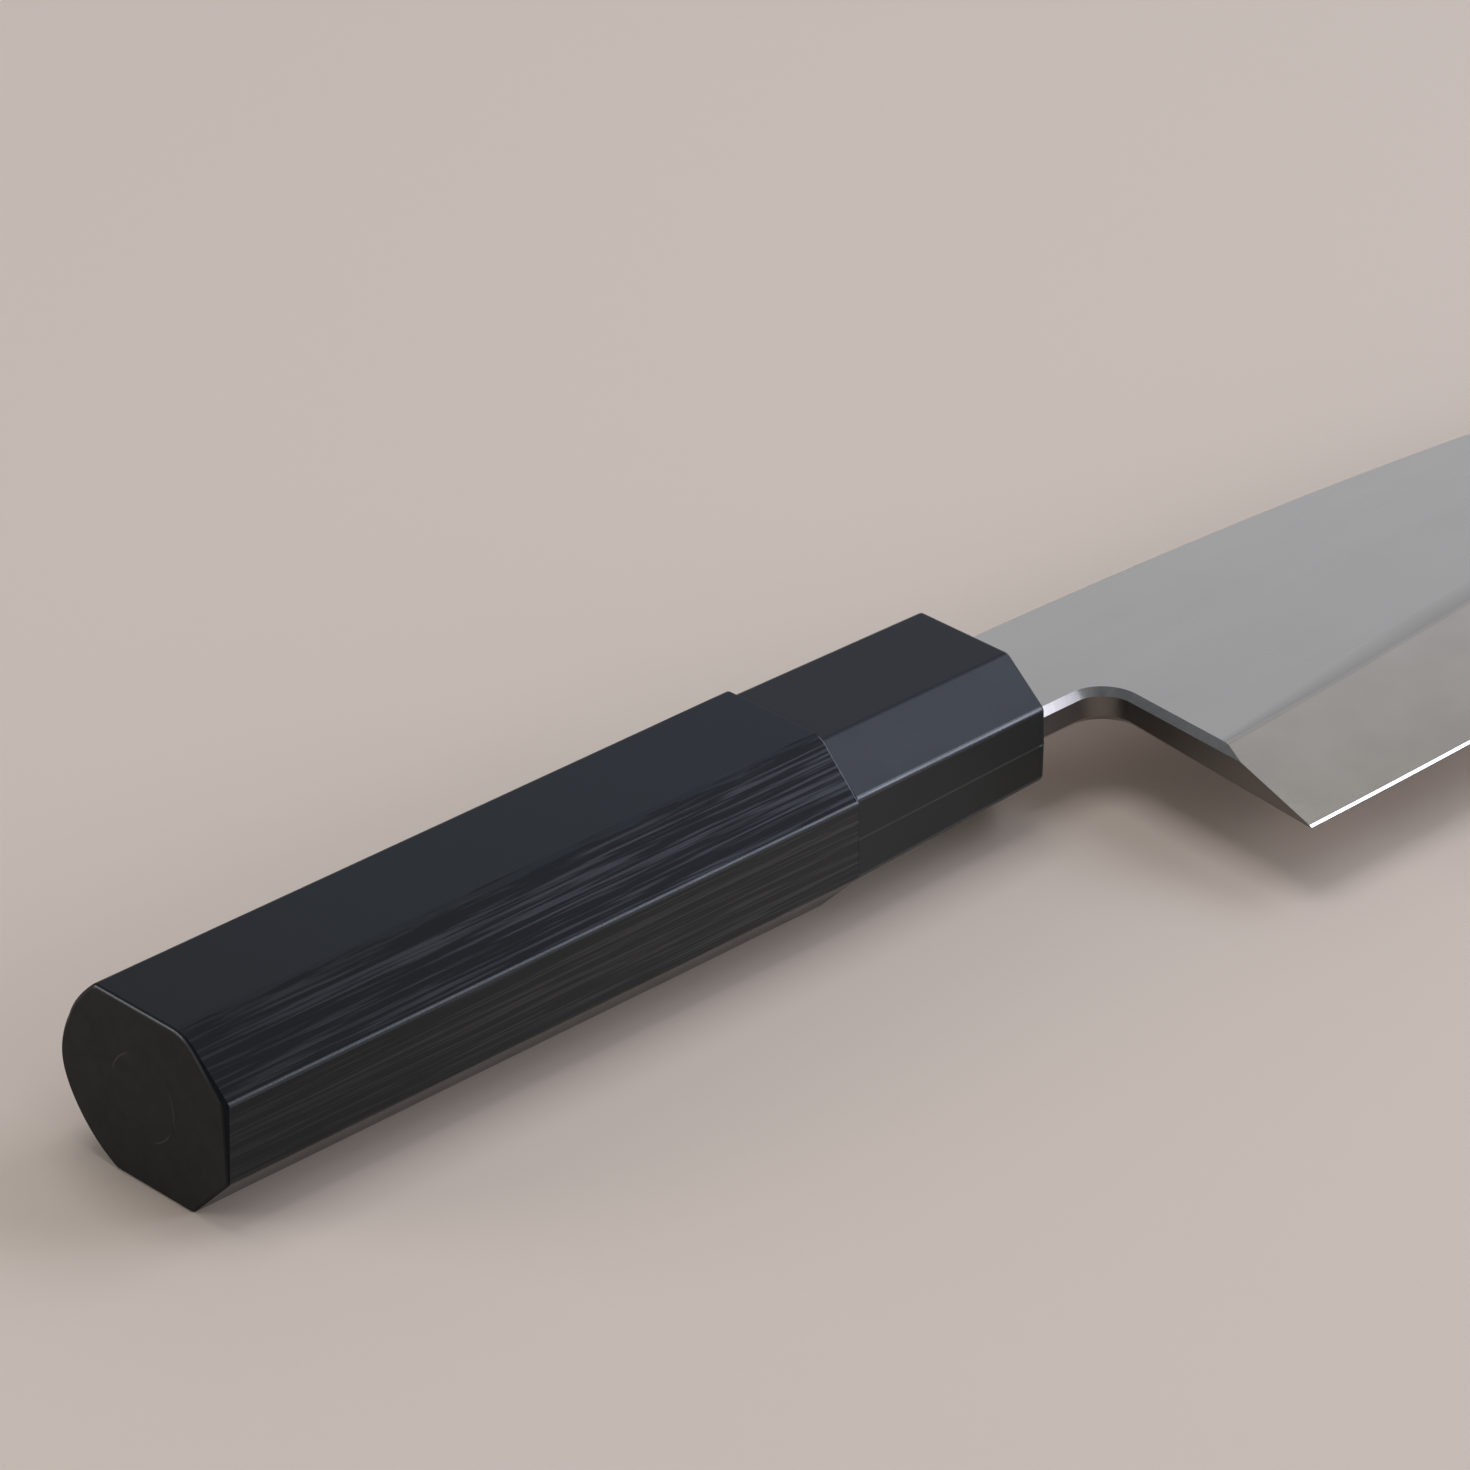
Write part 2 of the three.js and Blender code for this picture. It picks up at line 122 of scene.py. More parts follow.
class BladeSizes(PropertyGroup):
    """Outline, grinds and finish of the blade"""

    neck_edge: length("Neck", 0.01025, "Axis to the underside of the neck")
    heel_setback: length("Heel setback", 0.0105, "Ferrule to the corner of the heel")
    heel_lean: angle("Heel lean", 4.2, "Lean of the heel's back")
    choil_radius: length("Choil", 0.0043, "Radius between the neck and the heel's back")
    shoulder: length("Shoulder", -0.0045, "Where the neck ends inside the ferrule")
    tang_height: length("Tang", 0.00843, "Height of the tang at the shoulder")
    tang_end: length("Tang end", 0.00603, "Height of the tang at its end")
    point_drop: length("Point drop", 0.01485, "Axis to the point")
    point_thickness: length("Point thickness", 0.002, "Thickness of the plate at the point")
    spine_straight: length("Spine pull", 0.07, "Pull of the neck on the spine's curve")
    spine_pull: length("Spine point pull", 0.0588, "Pull of the point on the spine's curve")
    spine_fall: angle("Spine fall", 19.4, "Fall of the spine at the point")
    edge_straight: length("Edge pull", 0.0695, "Pull of the heel on the edge's curve")
    edge_rise: angle("Edge rise", 0.66, "Rise of the edge at the heel")
    edge_pull: length("Edge point pull", 0.047, "Pull of the point on the edge's curve")
    edge_sweep: angle("Edge sweep", 35, "Rise of the edge at the point")
    chamfer: length("Chamfer", 0.0009, "Chamfer on the bevel side of the spine, neck and heel")
    foot_chamfer: length("Foot chamfer", 0.0010, "Chamfer under the neck, fading down the heel")
    bevel_width: length("Bevel", 0.01555, "Edge to ridge line at the heel")
    ridge_rise: angle("Ridge rise", 4.5, "Rise of the ridge line at the heel")
    ridge_straight: length("Ridge pull", 0.063, "Pull of the heel on the ridge line's curve")
    ridge_pull: length("Ridge point pull", 0.05, "Pull of the point on the ridge line's curve")
    ridge_sweep: angle("Ridge sweep", 7, "Rise of the ridge line at the point")
    ridge_offset: length("Ridge offset", 0.005, "How far past the spine the ridge line is drawn")
    ridge_soft: length("Ridge softness", 0.00045, "Half width of the rounding along the ridge line")
    ridge_roll: length("Ridge roll", 0.0036, "How far from the ridge line the flat starts to fall")
    heel_roll: length("Heel roll", 0.0014, "The same distance at the heel")
    roll_fall: angle("Roll fall", 0.7, "How steeply it falls there")
    roll_grows: share("Roll growth", 0.2, "Share of the length over which the roll grows")
    # painted shade: the ridge line's rounding is painted darker, partly for a dark reflection, partly for
    # the soft line its polishing leaves
    ridge_painted_shade: share("Ridge shade", 0.24, "How much darker the rounding is than the flat")
    honed_width: length("Honed strip", 0.00038, "Width of the small bevel at the edge")
    honed_thickness: length("Honed thickness", 0.000297, "Thickness where the honed strip starts")
    edge_thickness: length("Edge thickness", 0.00012, "Thickness left at the edge")
    hollow_depth: length("Hollow", 0.00035, "Depth of the hollow on the flat side")
    hollow_rim: length("Hollow rim", 0.004, "Flat rim left round the hollow")
    hollow_least: length("Hollow end", 0.004, "Width at which the hollow ends towards the point")
    margin: length("Cut margin", 0.005, "How far a cut is carried past what it cuts")
    steps: IntProperty(name="Steps", description="Steps along each curve", default=72, min=12)
    steel: colour("Steel", (0.75, 0.731, 0.729), "Satin steel of the flat")
    # painted shade: the flat is painted darker towards the heel and lighter towards the spine
    heel_painted_shade_steel: colour("Steel at the heel", (0.67, 0.653, 0.652), "Satin steel of the flat at the heel")
    bevel_steel: colour("Bevel steel", (0.745, 0.692, 0.665), "Ground bevel, along the ridge line")
    warm_steel: colour("Warm steel", (0.618, 0.57, 0.52), "Ground bevel, along the edge")
    # painted shade: the chamfer's steel is painted darker than the flat for the dim room it reflects; at
    # the neck it is painted bright as a highlight, darkening into the choil
    rim_painted_shade_steel: colour("Rim steel", (0.50, 0.50, 0.51), "Ground steel of the chamfer")
    neck_rim_highlight: colour("Neck chamfer", (0.43, 0.395, 0.375), "The chamfer where it leaves the ferrule")
    choil_rim_shade: colour("Choil chamfer", (0.19, 0.175, 0.165), "The chamfer where it turns into the choil")
    # partly painted shade: the sides are dull ground steel, also painted dark for the shadowed floor they
    # reflect
    side_steel_dull_and_shaded: colour("Side steel", (0.195, 0.180, 0.165), "Dull steel left on the plate's sides")


class FerruleSizes(PropertyGroup):
    """Tapers, roundings and finish of the ferrule"""

    taper_flat: length("Flat taper", 0.00045, "How much lower the upper flat lies at the front")
    taper_edge: length("Edge taper", 0.00105, "How much narrower the edge side is at the front")
    taper_spine: length("Spine taper", 0.0006, "How much narrower the spine side is at the front")
    rear_edge_flat: length("Rear side flat", 0.0107, "Height of the edge side's flat at the seam")
    front_edge_flat: length("Front side flat", 0.0095, "Height of the edge side's flat at the front")
    spine_flat: length("Spine flat", 0.0086, "Height of the spine side's flat")
    rear_reach: length("Rear reach", 0.0074, "Flats, from the axis towards the edge side, at the seam")
    front_reach: length("Front reach", 0.0068, "Flats, from the axis towards the edge side, at the front")
    upper_reach: length("Upper reach", 0.00785, "Upper flat, from the axis towards the spine side")
    lower_reach: length("Lower reach", 0.00655, "Lower flat, from the axis towards the spine side")
    front_wall: length("Front wall", 0.005, "The wall that the neck passes through")
    socket_gap: length("Socket gap", 0.0003, "Clearance round the grip's tenon")
    slot_gap: length("Slot gap", 0.0002, "Clearance round the neck")
    edge_round: length("Edge rounding", 0.00045, "Rounding of the long edges")
    front_round: length("Front rounding", 0.0005, "Rounding of the front rim")
    rear_round: length("Rear rounding", 0.00015, "Rounding of the rear rim")
    seam_width: length("Mould line", 0.00028, "Width of the line left by the mould")
    seam_height: length("Mould line height", 0.00005, "How far the mould line stands out")
    draft: length("Draft", 0.00012, "How far the mould's draft makes the sides stand out at that line")
    nub_place: length("Nub", -0.0009, "Where the mould line ends in a nub")
    nub_reach: length("Nub reach", 0.0003, "Half the length of the nub")
    nub_height: length("Nub height", 0.00015, "How far the nub stands out")
    resin: colour("Resin", (0.0068, 0.0095, 0.0155), "Moulded black resin")
    # painted light: a paler, neutral copy of the same resin for the upright sides, lit differently from
    # the bluer top
    lit_side_resin: colour("Side resin", (0.0128, 0.0143, 0.0142), "The same resin on the upright sides")
    # painted highlight: the raised mould line is painted pale for the light it catches
    line_highlight_resin: colour("Mould line resin", (0.030, 0.031, 0.031), "The mould line, rubbed pale")


class GripSizes(PropertyGroup):
    """Section, roundings and finish of the grip and the plug in its butt"""

    flat_reach: length("Flat reach", 0.0079, "Flats, from the axis towards the edge side")
    side_flat: length("Side flat", 0.0101, "Height of the flat on the edge side")
    upper_reach: length("Upper reach", 0.00765, "Upper flat, from the axis to the round side")
    upper_fall: angle("Upper fall", 40, "How steeply the round side falls from the upper flat")
    upper_pull: length("Upper pull", 0.0047, "How far the round side holds that direction")
    lower_reach: length("Lower reach", 0.00515, "Lower flat, from the axis to the round side")
    lower_climb: angle("Lower climb", 22, "How steeply the round side climbs from the lower flat")
    lower_pull: length("Lower pull", 0.0052, "How far the round side holds that direction")
    crown_upper: length("Crown above", 0.0044, "How far the crown stays upright above the middle")
    crown_lower: length("Crown below", 0.004, "How far the crown stays upright below the middle")
    soft_round: length("Soft rounding", 0.0022, "Rounding of the upper flat's edge at the butt")
    seam_round: length("Seam rounding", 0.0011, "The same rounding at the ferrule")
    edge_round: length("Edge rounding", 0.00035, "Rounding of the other long edges")
    butt_chamfer: length("Butt chamfer", 0.00065, "Widest chamfer on the rim of the butt")
    rim_top: share("Rim at the top", 0.5, "Share of that chamfer left at the upper flat")
    rim_foot: share("Rim at the foot", 0.4, "Share of that chamfer left at the lower flat")
    rim_round: length("Rim rounding", 0.0002, "Rounding of the rim's edges")
    # where the rim's wear has faded out, its painted shade is darkest
    worn_full: length("Worn rim", 0.0012, "How far below the upper flat the rim is worn smooth")
    worn_depth: length("Worn rim end", 0.0048, "How far below the upper flat that wear has faded out")
    bore_gap: length("Bore gap", 0.0003, "Wall of the bore to the solid adhesive")
    plug_radius: length("Plug radius", 0.00547, "Radius of the plug's hole")
    hairline: length("Hairline", 0.00001, "Joint round the plug")
    glue_width: length("Glue line", 0.0002, "Width of the glue line round the plug")
    tenon_width: length("Tenon width", 0.018, "Tenon inside the ferrule, across")
    tenon_height: length("Tenon height", 0.015, "Tenon inside the ferrule, upright")
    tenon_corner: length("Tenon corner", 0.004, "Radius of the tenon's corners")
    wood: colour("Wood", (0.0083, 0.0118, 0.0170), "Black laminated wood")
    cut_wood: colour("Cut wood", (0.0058, 0.0068, 0.0095), "The same wood where its layers are cut")
    # partly painted highlight: the cut layers' paler streaks are partly their own tone, partly painted
    # pale for the glints of their smooth bands
    pore_and_glint: colour("Pores", (0.0175, 0.0195, 0.0240), "Paler streaks where the layers are cut")
    # painted light: the side and the lower chamfer get a brighter, warmer copy of the same wood for the
    # light on that side; the upper tones are the bluer copy
    lit_side_wood: colour("Side wood", (0.0190, 0.0184, 0.0180), "The wood on the side towards the edge")
    lit_side_pore_and_glint: colour("Side pores", (0.0320, 0.0314, 0.0310), "Paler streaks on that side")
    # painted highlight: the grip's edge at the seam is painted pale and bluish for the window light it
    # catches
    seam_edge_highlight: colour("Scuffed edge", (0.085, 0.088, 0.098), "Edge at the seam, scuffed pale")
    end_wood: colour("End grain", (0.0072, 0.0075, 0.0080), "Sanded end grain of the butt")
    glue: colour("Glue line", (0.032, 0.031, 0.029), "Where glue shows round the plug")
    adhesive: colour("Adhesive", (0.58, 0.45, 0.2), "Cured adhesive round the tang")


class StageSettings(PropertyGroup):
    """Camera, floor and lamps"""

    eye: FloatVectorProperty(
        name="Eye",
        description="Where the camera stands",
        default=(-0.613213, -0.5524, 0.45495),
        size=3,
        unit="LENGTH",
    )
    turn: angle("Turn", 43.735, "Camera's heading, from +Y towards +X")
    dip: angle("Dip", 28.796, "How far the camera looks down")
    roll: angle("Roll", 0.266, "Camera's roll")
    lens: FloatProperty(name="Lens", description="Focal length", default=187.7, unit="CAMERA")
    floor_size: length("Floor", 8.0, "Width of the floor")
    floor: colour("Floor", (0.62, 0.522, 0.45), "Plain pale floor")
    sky: colour("Sky", (0.97, 0.985, 1.0), "Light from all round")
    sky_strength: share("Sky strength", 0.47, "Strength of the light from all round")
    shade: FloatVectorProperty(
        name="Shade",
        description="Where the room is dim",
        default=(-0.45, 0.2, 0.87),
        size=3,
        subtype="DIRECTION",
    )
    shade_strength: share("Shade strength", 0.14, "Strength of the light from there")


def away(start, reach, turn):
    """The place at a distance from another in the XY plane, in a direction given as an angle"""
    return start + Vector((reach * math.cos(turn), reach * math.sin(turn), 0))


def bezier(start, first, second, end, steps):
    """Points along a curve from start to end"""
    return interpolate_bezier(start, first, second, end, steps + 1)


def prism(bm, points, reach):
    """A face round a row of points, drawn out into a solid"""
    outline = bm.faces.new([bm.verts.new(point) for point in points])
    made = bmesh.ops.extrude_face_region(bm, geom=[outline])
    raised = [item for item in made["geom"] if isinstance(item, bmesh.types.BMVert)]
    bmesh.ops.translate(bm, verts=raised, vec=reach)
    bmesh.ops.recalc_face_normals(bm, faces=bm.faces)


def ring(bm, points):
    """A closed loop of edges through a row of points"""
    corners = [bm.verts.new(point) for point in points]
    return [bm.edges.new(pair) for pair in zip(corners, corners[1:] + corners[:1])]


def loft(bm, sections):
    """A closed skin through a row of like sections; gives back the faces between each two"""
    rings = [ring(bm, section) for section in sections]
    bands = [bmesh.ops.bridge_loops(bm, edges=a + b)["faces"] for a, b in zip(rings, rings[1:])]
    for end in (rings[0], rings[-1]):
        bmesh.ops.edgeloop_fill(bm, edges=end)
    bmesh.ops.recalc_face_normals(bm, faces=bm.faces)
    return bands


def block(bm, low, high):
    """A box between two corners"""
    made = bmesh.ops.create_cube(bm, size=1)
    bmesh.ops.scale(bm, verts=made["verts"], vec=high - low)
    bmesh.ops.translate(bm, verts=made["verts"], vec=(low + high) / 2)


def rounded_block(bm, low, high, corner):
    """A box along X with round corners in section"""
    block(bm, low, high)
    soften(bm, [e for e in bm.edges if along_x(e)], corner, CORNER_STEPS)


def rod(bm, radius, from_x, to_x):
    """A round bar along X"""
    turn = Matrix.Translation(((from_x + to_x) / 2, 0, 0)) @ Matrix.Rotation(math.pi / 2, 4, "Y")
    bmesh.ops.create_cone(
        bm,
        cap_ends=True,
        segments=ROD_STEPS,
        radius1=radius,
        radius2=radius,
        depth=to_x - from_x,
        matrix=turn,
    )


def along_x(edge, least=ALONG):
    """True for an edge that runs along the knife"""
    run = edge.verts[1].co - edge.verts[0].co
    return abs(run.x) > least * run.length


def soften(bm, edges, width, segments):
    """Rounds or chamfers a row of edges; gives back the new faces"""
    made = bmesh.ops.bevel(
        bm,
        geom=edges,
        offset=width,
        offset_type="OFFSET",
        segments=segments,
        profile=0.5,
        affect="EDGES",
        material=-1,
    )
    return made["faces"]


def edges_at(bm, x):
    """The edges that lie in the plane across the knife at x"""
    return [e for e in bm.edges if all(abs(v.co.x - x) < WELD for v in e.verts)]


def places_of(part):
    """Where the corners of an edge or a face lie, or a corner itself"""
    return sorted(corner.co[:] for corner in getattr(part, "verts", [part]))


def set_order(bm):
    """Puts corners, edges and faces in the order of their places, so that each run gives the same mesh"""
    for parts in (bm.verts, bm.edges, bm.faces):
        ranks = {part: rank for rank, part in enumerate(sorted(parts, key=places_of))}
        parts.sort(key=ranks.get)


def slice_across(bm, place, heading):
    """Adds edges where a plane meets the mesh"""
    whole = bm.verts[:] + bm.edges[:] + bm.faces[:]
    bmesh.ops.bisect_plane(bm, geom=whole, plane_co=place, plane_no=heading)
    set_order(bm)


def combine(bm, tool, operation):
    """Joins or cuts one bmesh with another, and empties the other"""
    objects = []
    for shape in (bm, tool):
        mesh = bpy.data.meshes.new("working")
        shape.to_mesh(mesh)
        objects.append(bpy.data.objects.new("working", mesh))
        bpy.context.scene.collection.objects.link(objects[-1])
    body, cutter = objects
    modifier = body.modifiers.new("Combine", "BOOLEAN")
    modifier.operation = operation
    modifier.solver = "EXACT"
    modifier.object = cutter
    bpy.context.view_layer.update()
    bm.clear()
    bm.from_object(body, bpy.context.evaluated_depsgraph_get())
    tool.free()
    for item in objects:
        mesh = item.data
        bpy.data.objects.remove(item)
        bpy.data.meshes.remove(mesh)
    if not bm.faces:
        raise RuntimeError("a cut left nothing of the piece")


def finish_piece(bm, name, node, materials, sharp=SMOOTH_ANGLE, crisp=()):
    """Turns a bmesh into the piece that stands for a solid; two of its finishes may meet crisply"""
    bmesh.ops.remove_doubles(bm, verts=bm.verts, dist=WELD)
    bmesh.ops.dissolve_degenerate(bm, edges=bm.edges, dist=WELD)
    bmesh.ops.recalc_face_normals(bm, faces=bm.faces)
    bmesh.ops.translate(bm, verts=bm.verts, vec=AXIS)
    bm.edges.index_update()
    border = []
    for edge in bm.edges:
        if sorted(face.material_index for face in edge.link_faces) == sorted(crisp):
            border.append(edge.index)
    mesh = bpy.data.meshes.new(name)
    bm.to_mesh(mesh)
    bm.free()
    for material in materials:
        mesh.materials.append(material)
    mesh.shade_smooth()
    mesh.set_sharp_from_angle(angle=sharp)
    for index in border:
        mesh.edges[index].use_edge_sharp = True
    piece = bpy.data.objects.new(name, mesh)
    bpy.context.scene.collection.objects.link(piece)
    weighted = piece.modifiers.new("Flat faces", "WEIGHTED_NORMAL")
    weighted.keep_sharp = True
    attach(piece, "root")
    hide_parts(node)
    return piece


# Finishes

# Directions across the blade over which the steel's tone changes, each with its start and end in metres.
# Along the flat and the neck's chamfer that change is painted light and shade.
FLAT_SPAN = ((0.5, 0.87, 0), -0.010, 0.040)
BEVEL_SPAN = ((0.35, 0.94, 0), -0.030, -0.004)
NECK_SPAN = ((0.958, -0.287, 0), -0.0307, -0.0185)

# Lines, clouds and pores to the metre, along X, Y and Z
FLAT_LINES = (25, 220, 220)
BEVEL_LINES = (220, 25, 25)
HOLLOW_LINES = (1800, 80, 80)
RIM_LINES = (1500, 1500, 60)
HONED_LINES = (300, 60, 60)
STEEL_CLOUDS = (70, 90, 90)
RESIN_BLOOM = (120, 160, 160)
RESIN_SPECKS = (5200, 5200, 5200)
RESIN_RUB = (150, 600, 600)
WOOD_RUB = (200, 900, 900)
WOOD_TEARS = (130, 1700, 3000)
RIM_PORES = (1800, 1800, 1800)
END_PORES = (420, 420, 420)
END_CLOUDS = (140, 140, 140)
ADHESIVE_SKIN = (300, 300, 300)

# Streaks of the laminated wood: how many to the metre along each axis, their detail and their weight
WOOD_STREAKS = (((24, 260, 2500), 2, 0.38), ((70, 700, 4800), 3, 0.5), ((9, 40, 360), 1, 0.12))

# The part of a noise's range that a finish uses
MOST = (0.3, 0.7)
MIDDLE = (0.35, 0.65)
STREAK = (0.49, 0.58)

# Depths of the finest relief, in metres
GRIND_DEPTH = 0.000002
SPECK_DEPTH = 0.0000025
STREAK_DEPTH = 0.00002
PORE_DEPTH = 0.000004
SKIN_DEPTH = 0.00005

# How far the grinding lines swing the steel's roughness
ROUGHNESS_SWING = 0.02

# How the laminated wood is cut and torn, in metres, and how rough its flats are
LAYER_TURN = (0, math.radians(0.3), 0)
FLATS_MIDDLE = 0.0005
FLATS_HALF = 0.0071
TEAR = 0.0004
TEAR_BLUR = 0.00025
FLATS_ROUGHNESS = 0.42

# Painted shade and light: how much darker the wood is painted at the butt, and lighter at the seam, for
# light that falls off along the grip
BUTT_PAINTED_SHADE = 0.62
SEAM_PAINTED_LIGHT = 1.4

# How much of the streaks' gloss is left at the butt, and the share of the grip over which it comes back
BUTT_GLOSS = 0.35
GLOSS_RUN = 0.45

# Glue round the plug: each arc's middle, in degrees from the spine upwards, half width and strength
GLUE_ARCS = ((42, 30, 1.0), (172, 26, 0.8), (230, 26, 1.0))
GLUE_FADE = 12  # degrees over which an arc fades out

# the attribute carries the ridge line's painted shade
RIDGE_PAINTED_SHADE = "ridge_painted_shade"  # the blade's attribute that is 1 where the ridge line is darkest


def new_material(name):
    """An empty material: itself, its tree and its shader"""
    material = bpy.data.materials.new(name)
    material.use_nodes = True
    tree = material.node_tree
    tree.nodes.clear()
    shader = tree.nodes.new("ShaderNodeBsdfPrincipled")
    output = tree.nodes.new("ShaderNodeOutputMaterial")
    tree.links.new(shader.outputs["BSDF"], output.inputs["Surface"])
    return material, tree, shader


def plug_in(tree, value, socket):
    """Gives a socket a number, a colour or another node's output"""
    if isinstance(value, bpy.types.NodeSocket):
        tree.links.new(value, socket)
    else:
        socket.default_value = value


def feed(tree, node, **inputs):
    """Gives a node its inputs by name"""
    for name, value in inputs.items():
        plug_in(tree, value, node.inputs[name.replace("_", " ")])


def object_place(tree):
    """Where a point of the piece lies, in metres"""
    return tree.nodes.new("ShaderNodeTexCoord").outputs["Object"]


def object_axes(tree):
    """The same place, as its X, Y and Z"""
    node = tree.nodes.new("ShaderNodeSeparateXYZ")
    feed(tree, node, Vector=object_place(tree))
    return node.outputs


def reach_toward(tree, place, heading):
    """How far a place lies in a direction"""
    node = tree.nodes.new("ShaderNodeVectorMath")
    node.operation = "DOT_PRODUCT"
    tree.links.new(place, node.inputs[0])
    node.inputs[1].default_value = heading
    return node.outputs["Value"]


def drawn_noise(tree, per_metre, detail=2, turn=(0, 0, 0)):
    """Noise with so many features to the metre along each axis"""
    mapping = tree.nodes.new("ShaderNodeMapping")
    feed(tree, mapping, Vector=object_place(tree), Rotation=turn, Scale=per_metre)
    noise = tree.nodes.new("ShaderNodeTexNoise")
    feed(tree, noise, Vector=mapping.outputs["Vector"], Scale=1, Detail=detail)
    return noise.outputs["Fac"]


def ramp(tree, source, stops):
    """A colour ramp through stops of place and colour"""
    node = tree.nodes.new("ShaderNodeValToRGB")
    feed(tree, node, Fac=source)
    elements = node.color_ramp.elements
    while len(elements) < len(stops):
        elements.new(1)
    for element, (place, tone) in zip(elements, stops):
        element.position = place
        element.color = (*tone, 1)
    return node.outputs["Color"]


def spread(tree, source, low, high, to_low, to_high):
    """A value carried from one range to another, and held at its ends"""
    node = tree.nodes.new("ShaderNodeMapRange")
    node.clamp = True
    feed(tree, node, Value=source, From_Min=low, From_Max=high, To_Min=to_low, To_Max=to_high)
    return node.outputs["Result"]


def combined(tree, operation, *values):
    """Two or three values put together"""
    node = tree.nodes.new("ShaderNodeMath")
    node.operation = operation
    for socket, value in zip(node.inputs, values):
        plug_in(tree, value, socket)
    return node.outputs["Value"]


def relief(tree, shader, height, depth):
    """Bump of a depth in metres"""
    node = tree.nodes.new("ShaderNodeBump")
    feed(tree, node, Height=height, Distance=depth, Strength=1)
    tree.links.new(node.outputs["Normal"], shader.inputs["Normal"])


def tinted(tone, factor):
    return tuple(min(1, channel * factor) for channel in tone)


def roughened(tree, noise, smooth, dull, part=MOST):
    """A roughness that a noise varies"""
    return spread(tree, noise, *part, smooth, dull)


def mottled(tree, noise, tone, darker, lighter):
    """A tone that a noise makes darker and lighter"""
    low, high = MOST
    return ramp(tree, noise, [(low, tinted(tone, darker)), (high, tinted(tone, lighter))])


def mixed_tone(tree, blend, first, second, factor=1):
    """Two colours put together; each may be a node's output"""
    node = tree.nodes.new("ShaderNodeMix")
    node.data_type = "RGBA"
    node.blend_type = blend
    ends = [socket for socket in node.inputs if socket.type == "RGBA"]
    for socket, value in ((node.inputs["Factor"], factor), *zip(ends, (first, second))):
        plug_in(tree, value, socket)
    return next(socket for socket in node.outputs if socket.type == "RGBA")


def shaded(tree, tone, light):
    """A tone made darker or lighter by a value"""
    grey = tree.nodes.new("ShaderNodeCombineColor")
    feed(tree, grey, Red=light, Green=light, Blue=light)
    return mixed_tone(tree, "MULTIPLY", tone, grey.outputs["Color"])


def steel_finish(name, tones, roughness, lines, shade=0, clouds=0.98, span=FLAT_SPAN, line_depth=0):
    """Ground steel: tones along a span, some of them painted light and shade, faint clouds, fine grinding
    lines and a ridge line darkened by painted shade
    """
    material, tree, shader = new_material(name)
    heading, start, end = span
    along = reach_toward(tree, object_place(tree), heading)
    stops = [(i / (len(tones) - 1), tone) for i, tone in enumerate(tones)]
    tone = ramp(tree, spread(tree, along, start, end, 0, 1), stops)
    grind = drawn_noise(tree, lines, detail=3)
    cloud = drawn_noise(tree, STEEL_CLOUDS, detail=3)
    # painted shade along the ridge line, mixed with the steel's own faint clouds
    ridge = tree.nodes.new("ShaderNodeAttribute")
    ridge.attribute_name = RIDGE_PAINTED_SHADE
    painted_shade_and_clouds = spread(tree, ridge.outputs["Fac"], 0, 1, 1, 1 - shade)
    painted_shade_and_clouds = combined(tree, "MULTIPLY", painted_shade_and_clouds, spread(tree, cloud, *MIDDLE, 1, clouds))
    feed(tree, shader, Metallic=1, Base_Color=shaded(tree, tone, painted_shade_and_clouds))
    swing = (roughness - ROUGHNESS_SWING, roughness + ROUGHNESS_SWING)
    feed(tree, shader, Roughness=roughened(tree, grind, *swing))
    if line_depth:
        relief(tree, shader, grind, line_depth)
    return material


def rubbed_finish(name, tone, rub_lines, gloss, smooth, dull):
    """Resin or wood where an edge is rubbed smooth"""
    material, tree, shader = new_material(name)
    rub = drawn_noise(tree, rub_lines)
    feed(tree, shader, Base_Color=(*tone, 1), Specular_IOR_Level=gloss)
    feed(tree, shader, Roughness=roughened(tree, rub, smooth, dull))
    return material


def resin_finish(name, tone):
    """Smooth matte moulded resin with the faint bloom of the mould"""
    material, tree, shader = new_material(name)
    bloom = drawn_noise(tree, RESIN_BLOOM, detail=3)
    feed(tree, shader, Base_Color=mottled(tree, bloom, tone, darker=0.92, lighter=1.08))
    rough = roughened(tree, bloom, smooth=0.34, dull=0.40)
    feed(tree, shader, Roughness=rough, Specular_IOR_Level=0.25)
    relief(tree, shader, drawn_noise(tree, RESIN_SPECKS), SPECK_DEPTH)
    return material


def layer_mask(tree):
    """0 on the flats, which show one layer of the wood, and 1 where its layers are cut"""
    axes = object_axes(tree)
    height = combined(tree, "ABSOLUTE", combined(tree, "SUBTRACT", axes["Z"], AXIS.z))
    aside = combined(tree, "SUBTRACT", axes["Y"], AXIS.y + FLATS_MIDDLE)
    breadth = combined(tree, "SUBTRACT", combined(tree, "ABSOLUTE", aside), FLATS_HALF)
    inside = combined(tree, "MINIMUM", breadth, 0)
    depth = combined(tree, "ADD", combined(tree, "SUBTRACT", GRIP_FLAT, height), inside)
    tear = drawn_noise(tree, WOOD_TEARS, detail=3, turn=LAYER_TURN)
    torn = combined(tree, "ADD", depth, spread(tree, tear, *MOST, -TEAR, TEAR))
    return spread(tree, torn, 0, TEAR_BLUR, 0, 1)


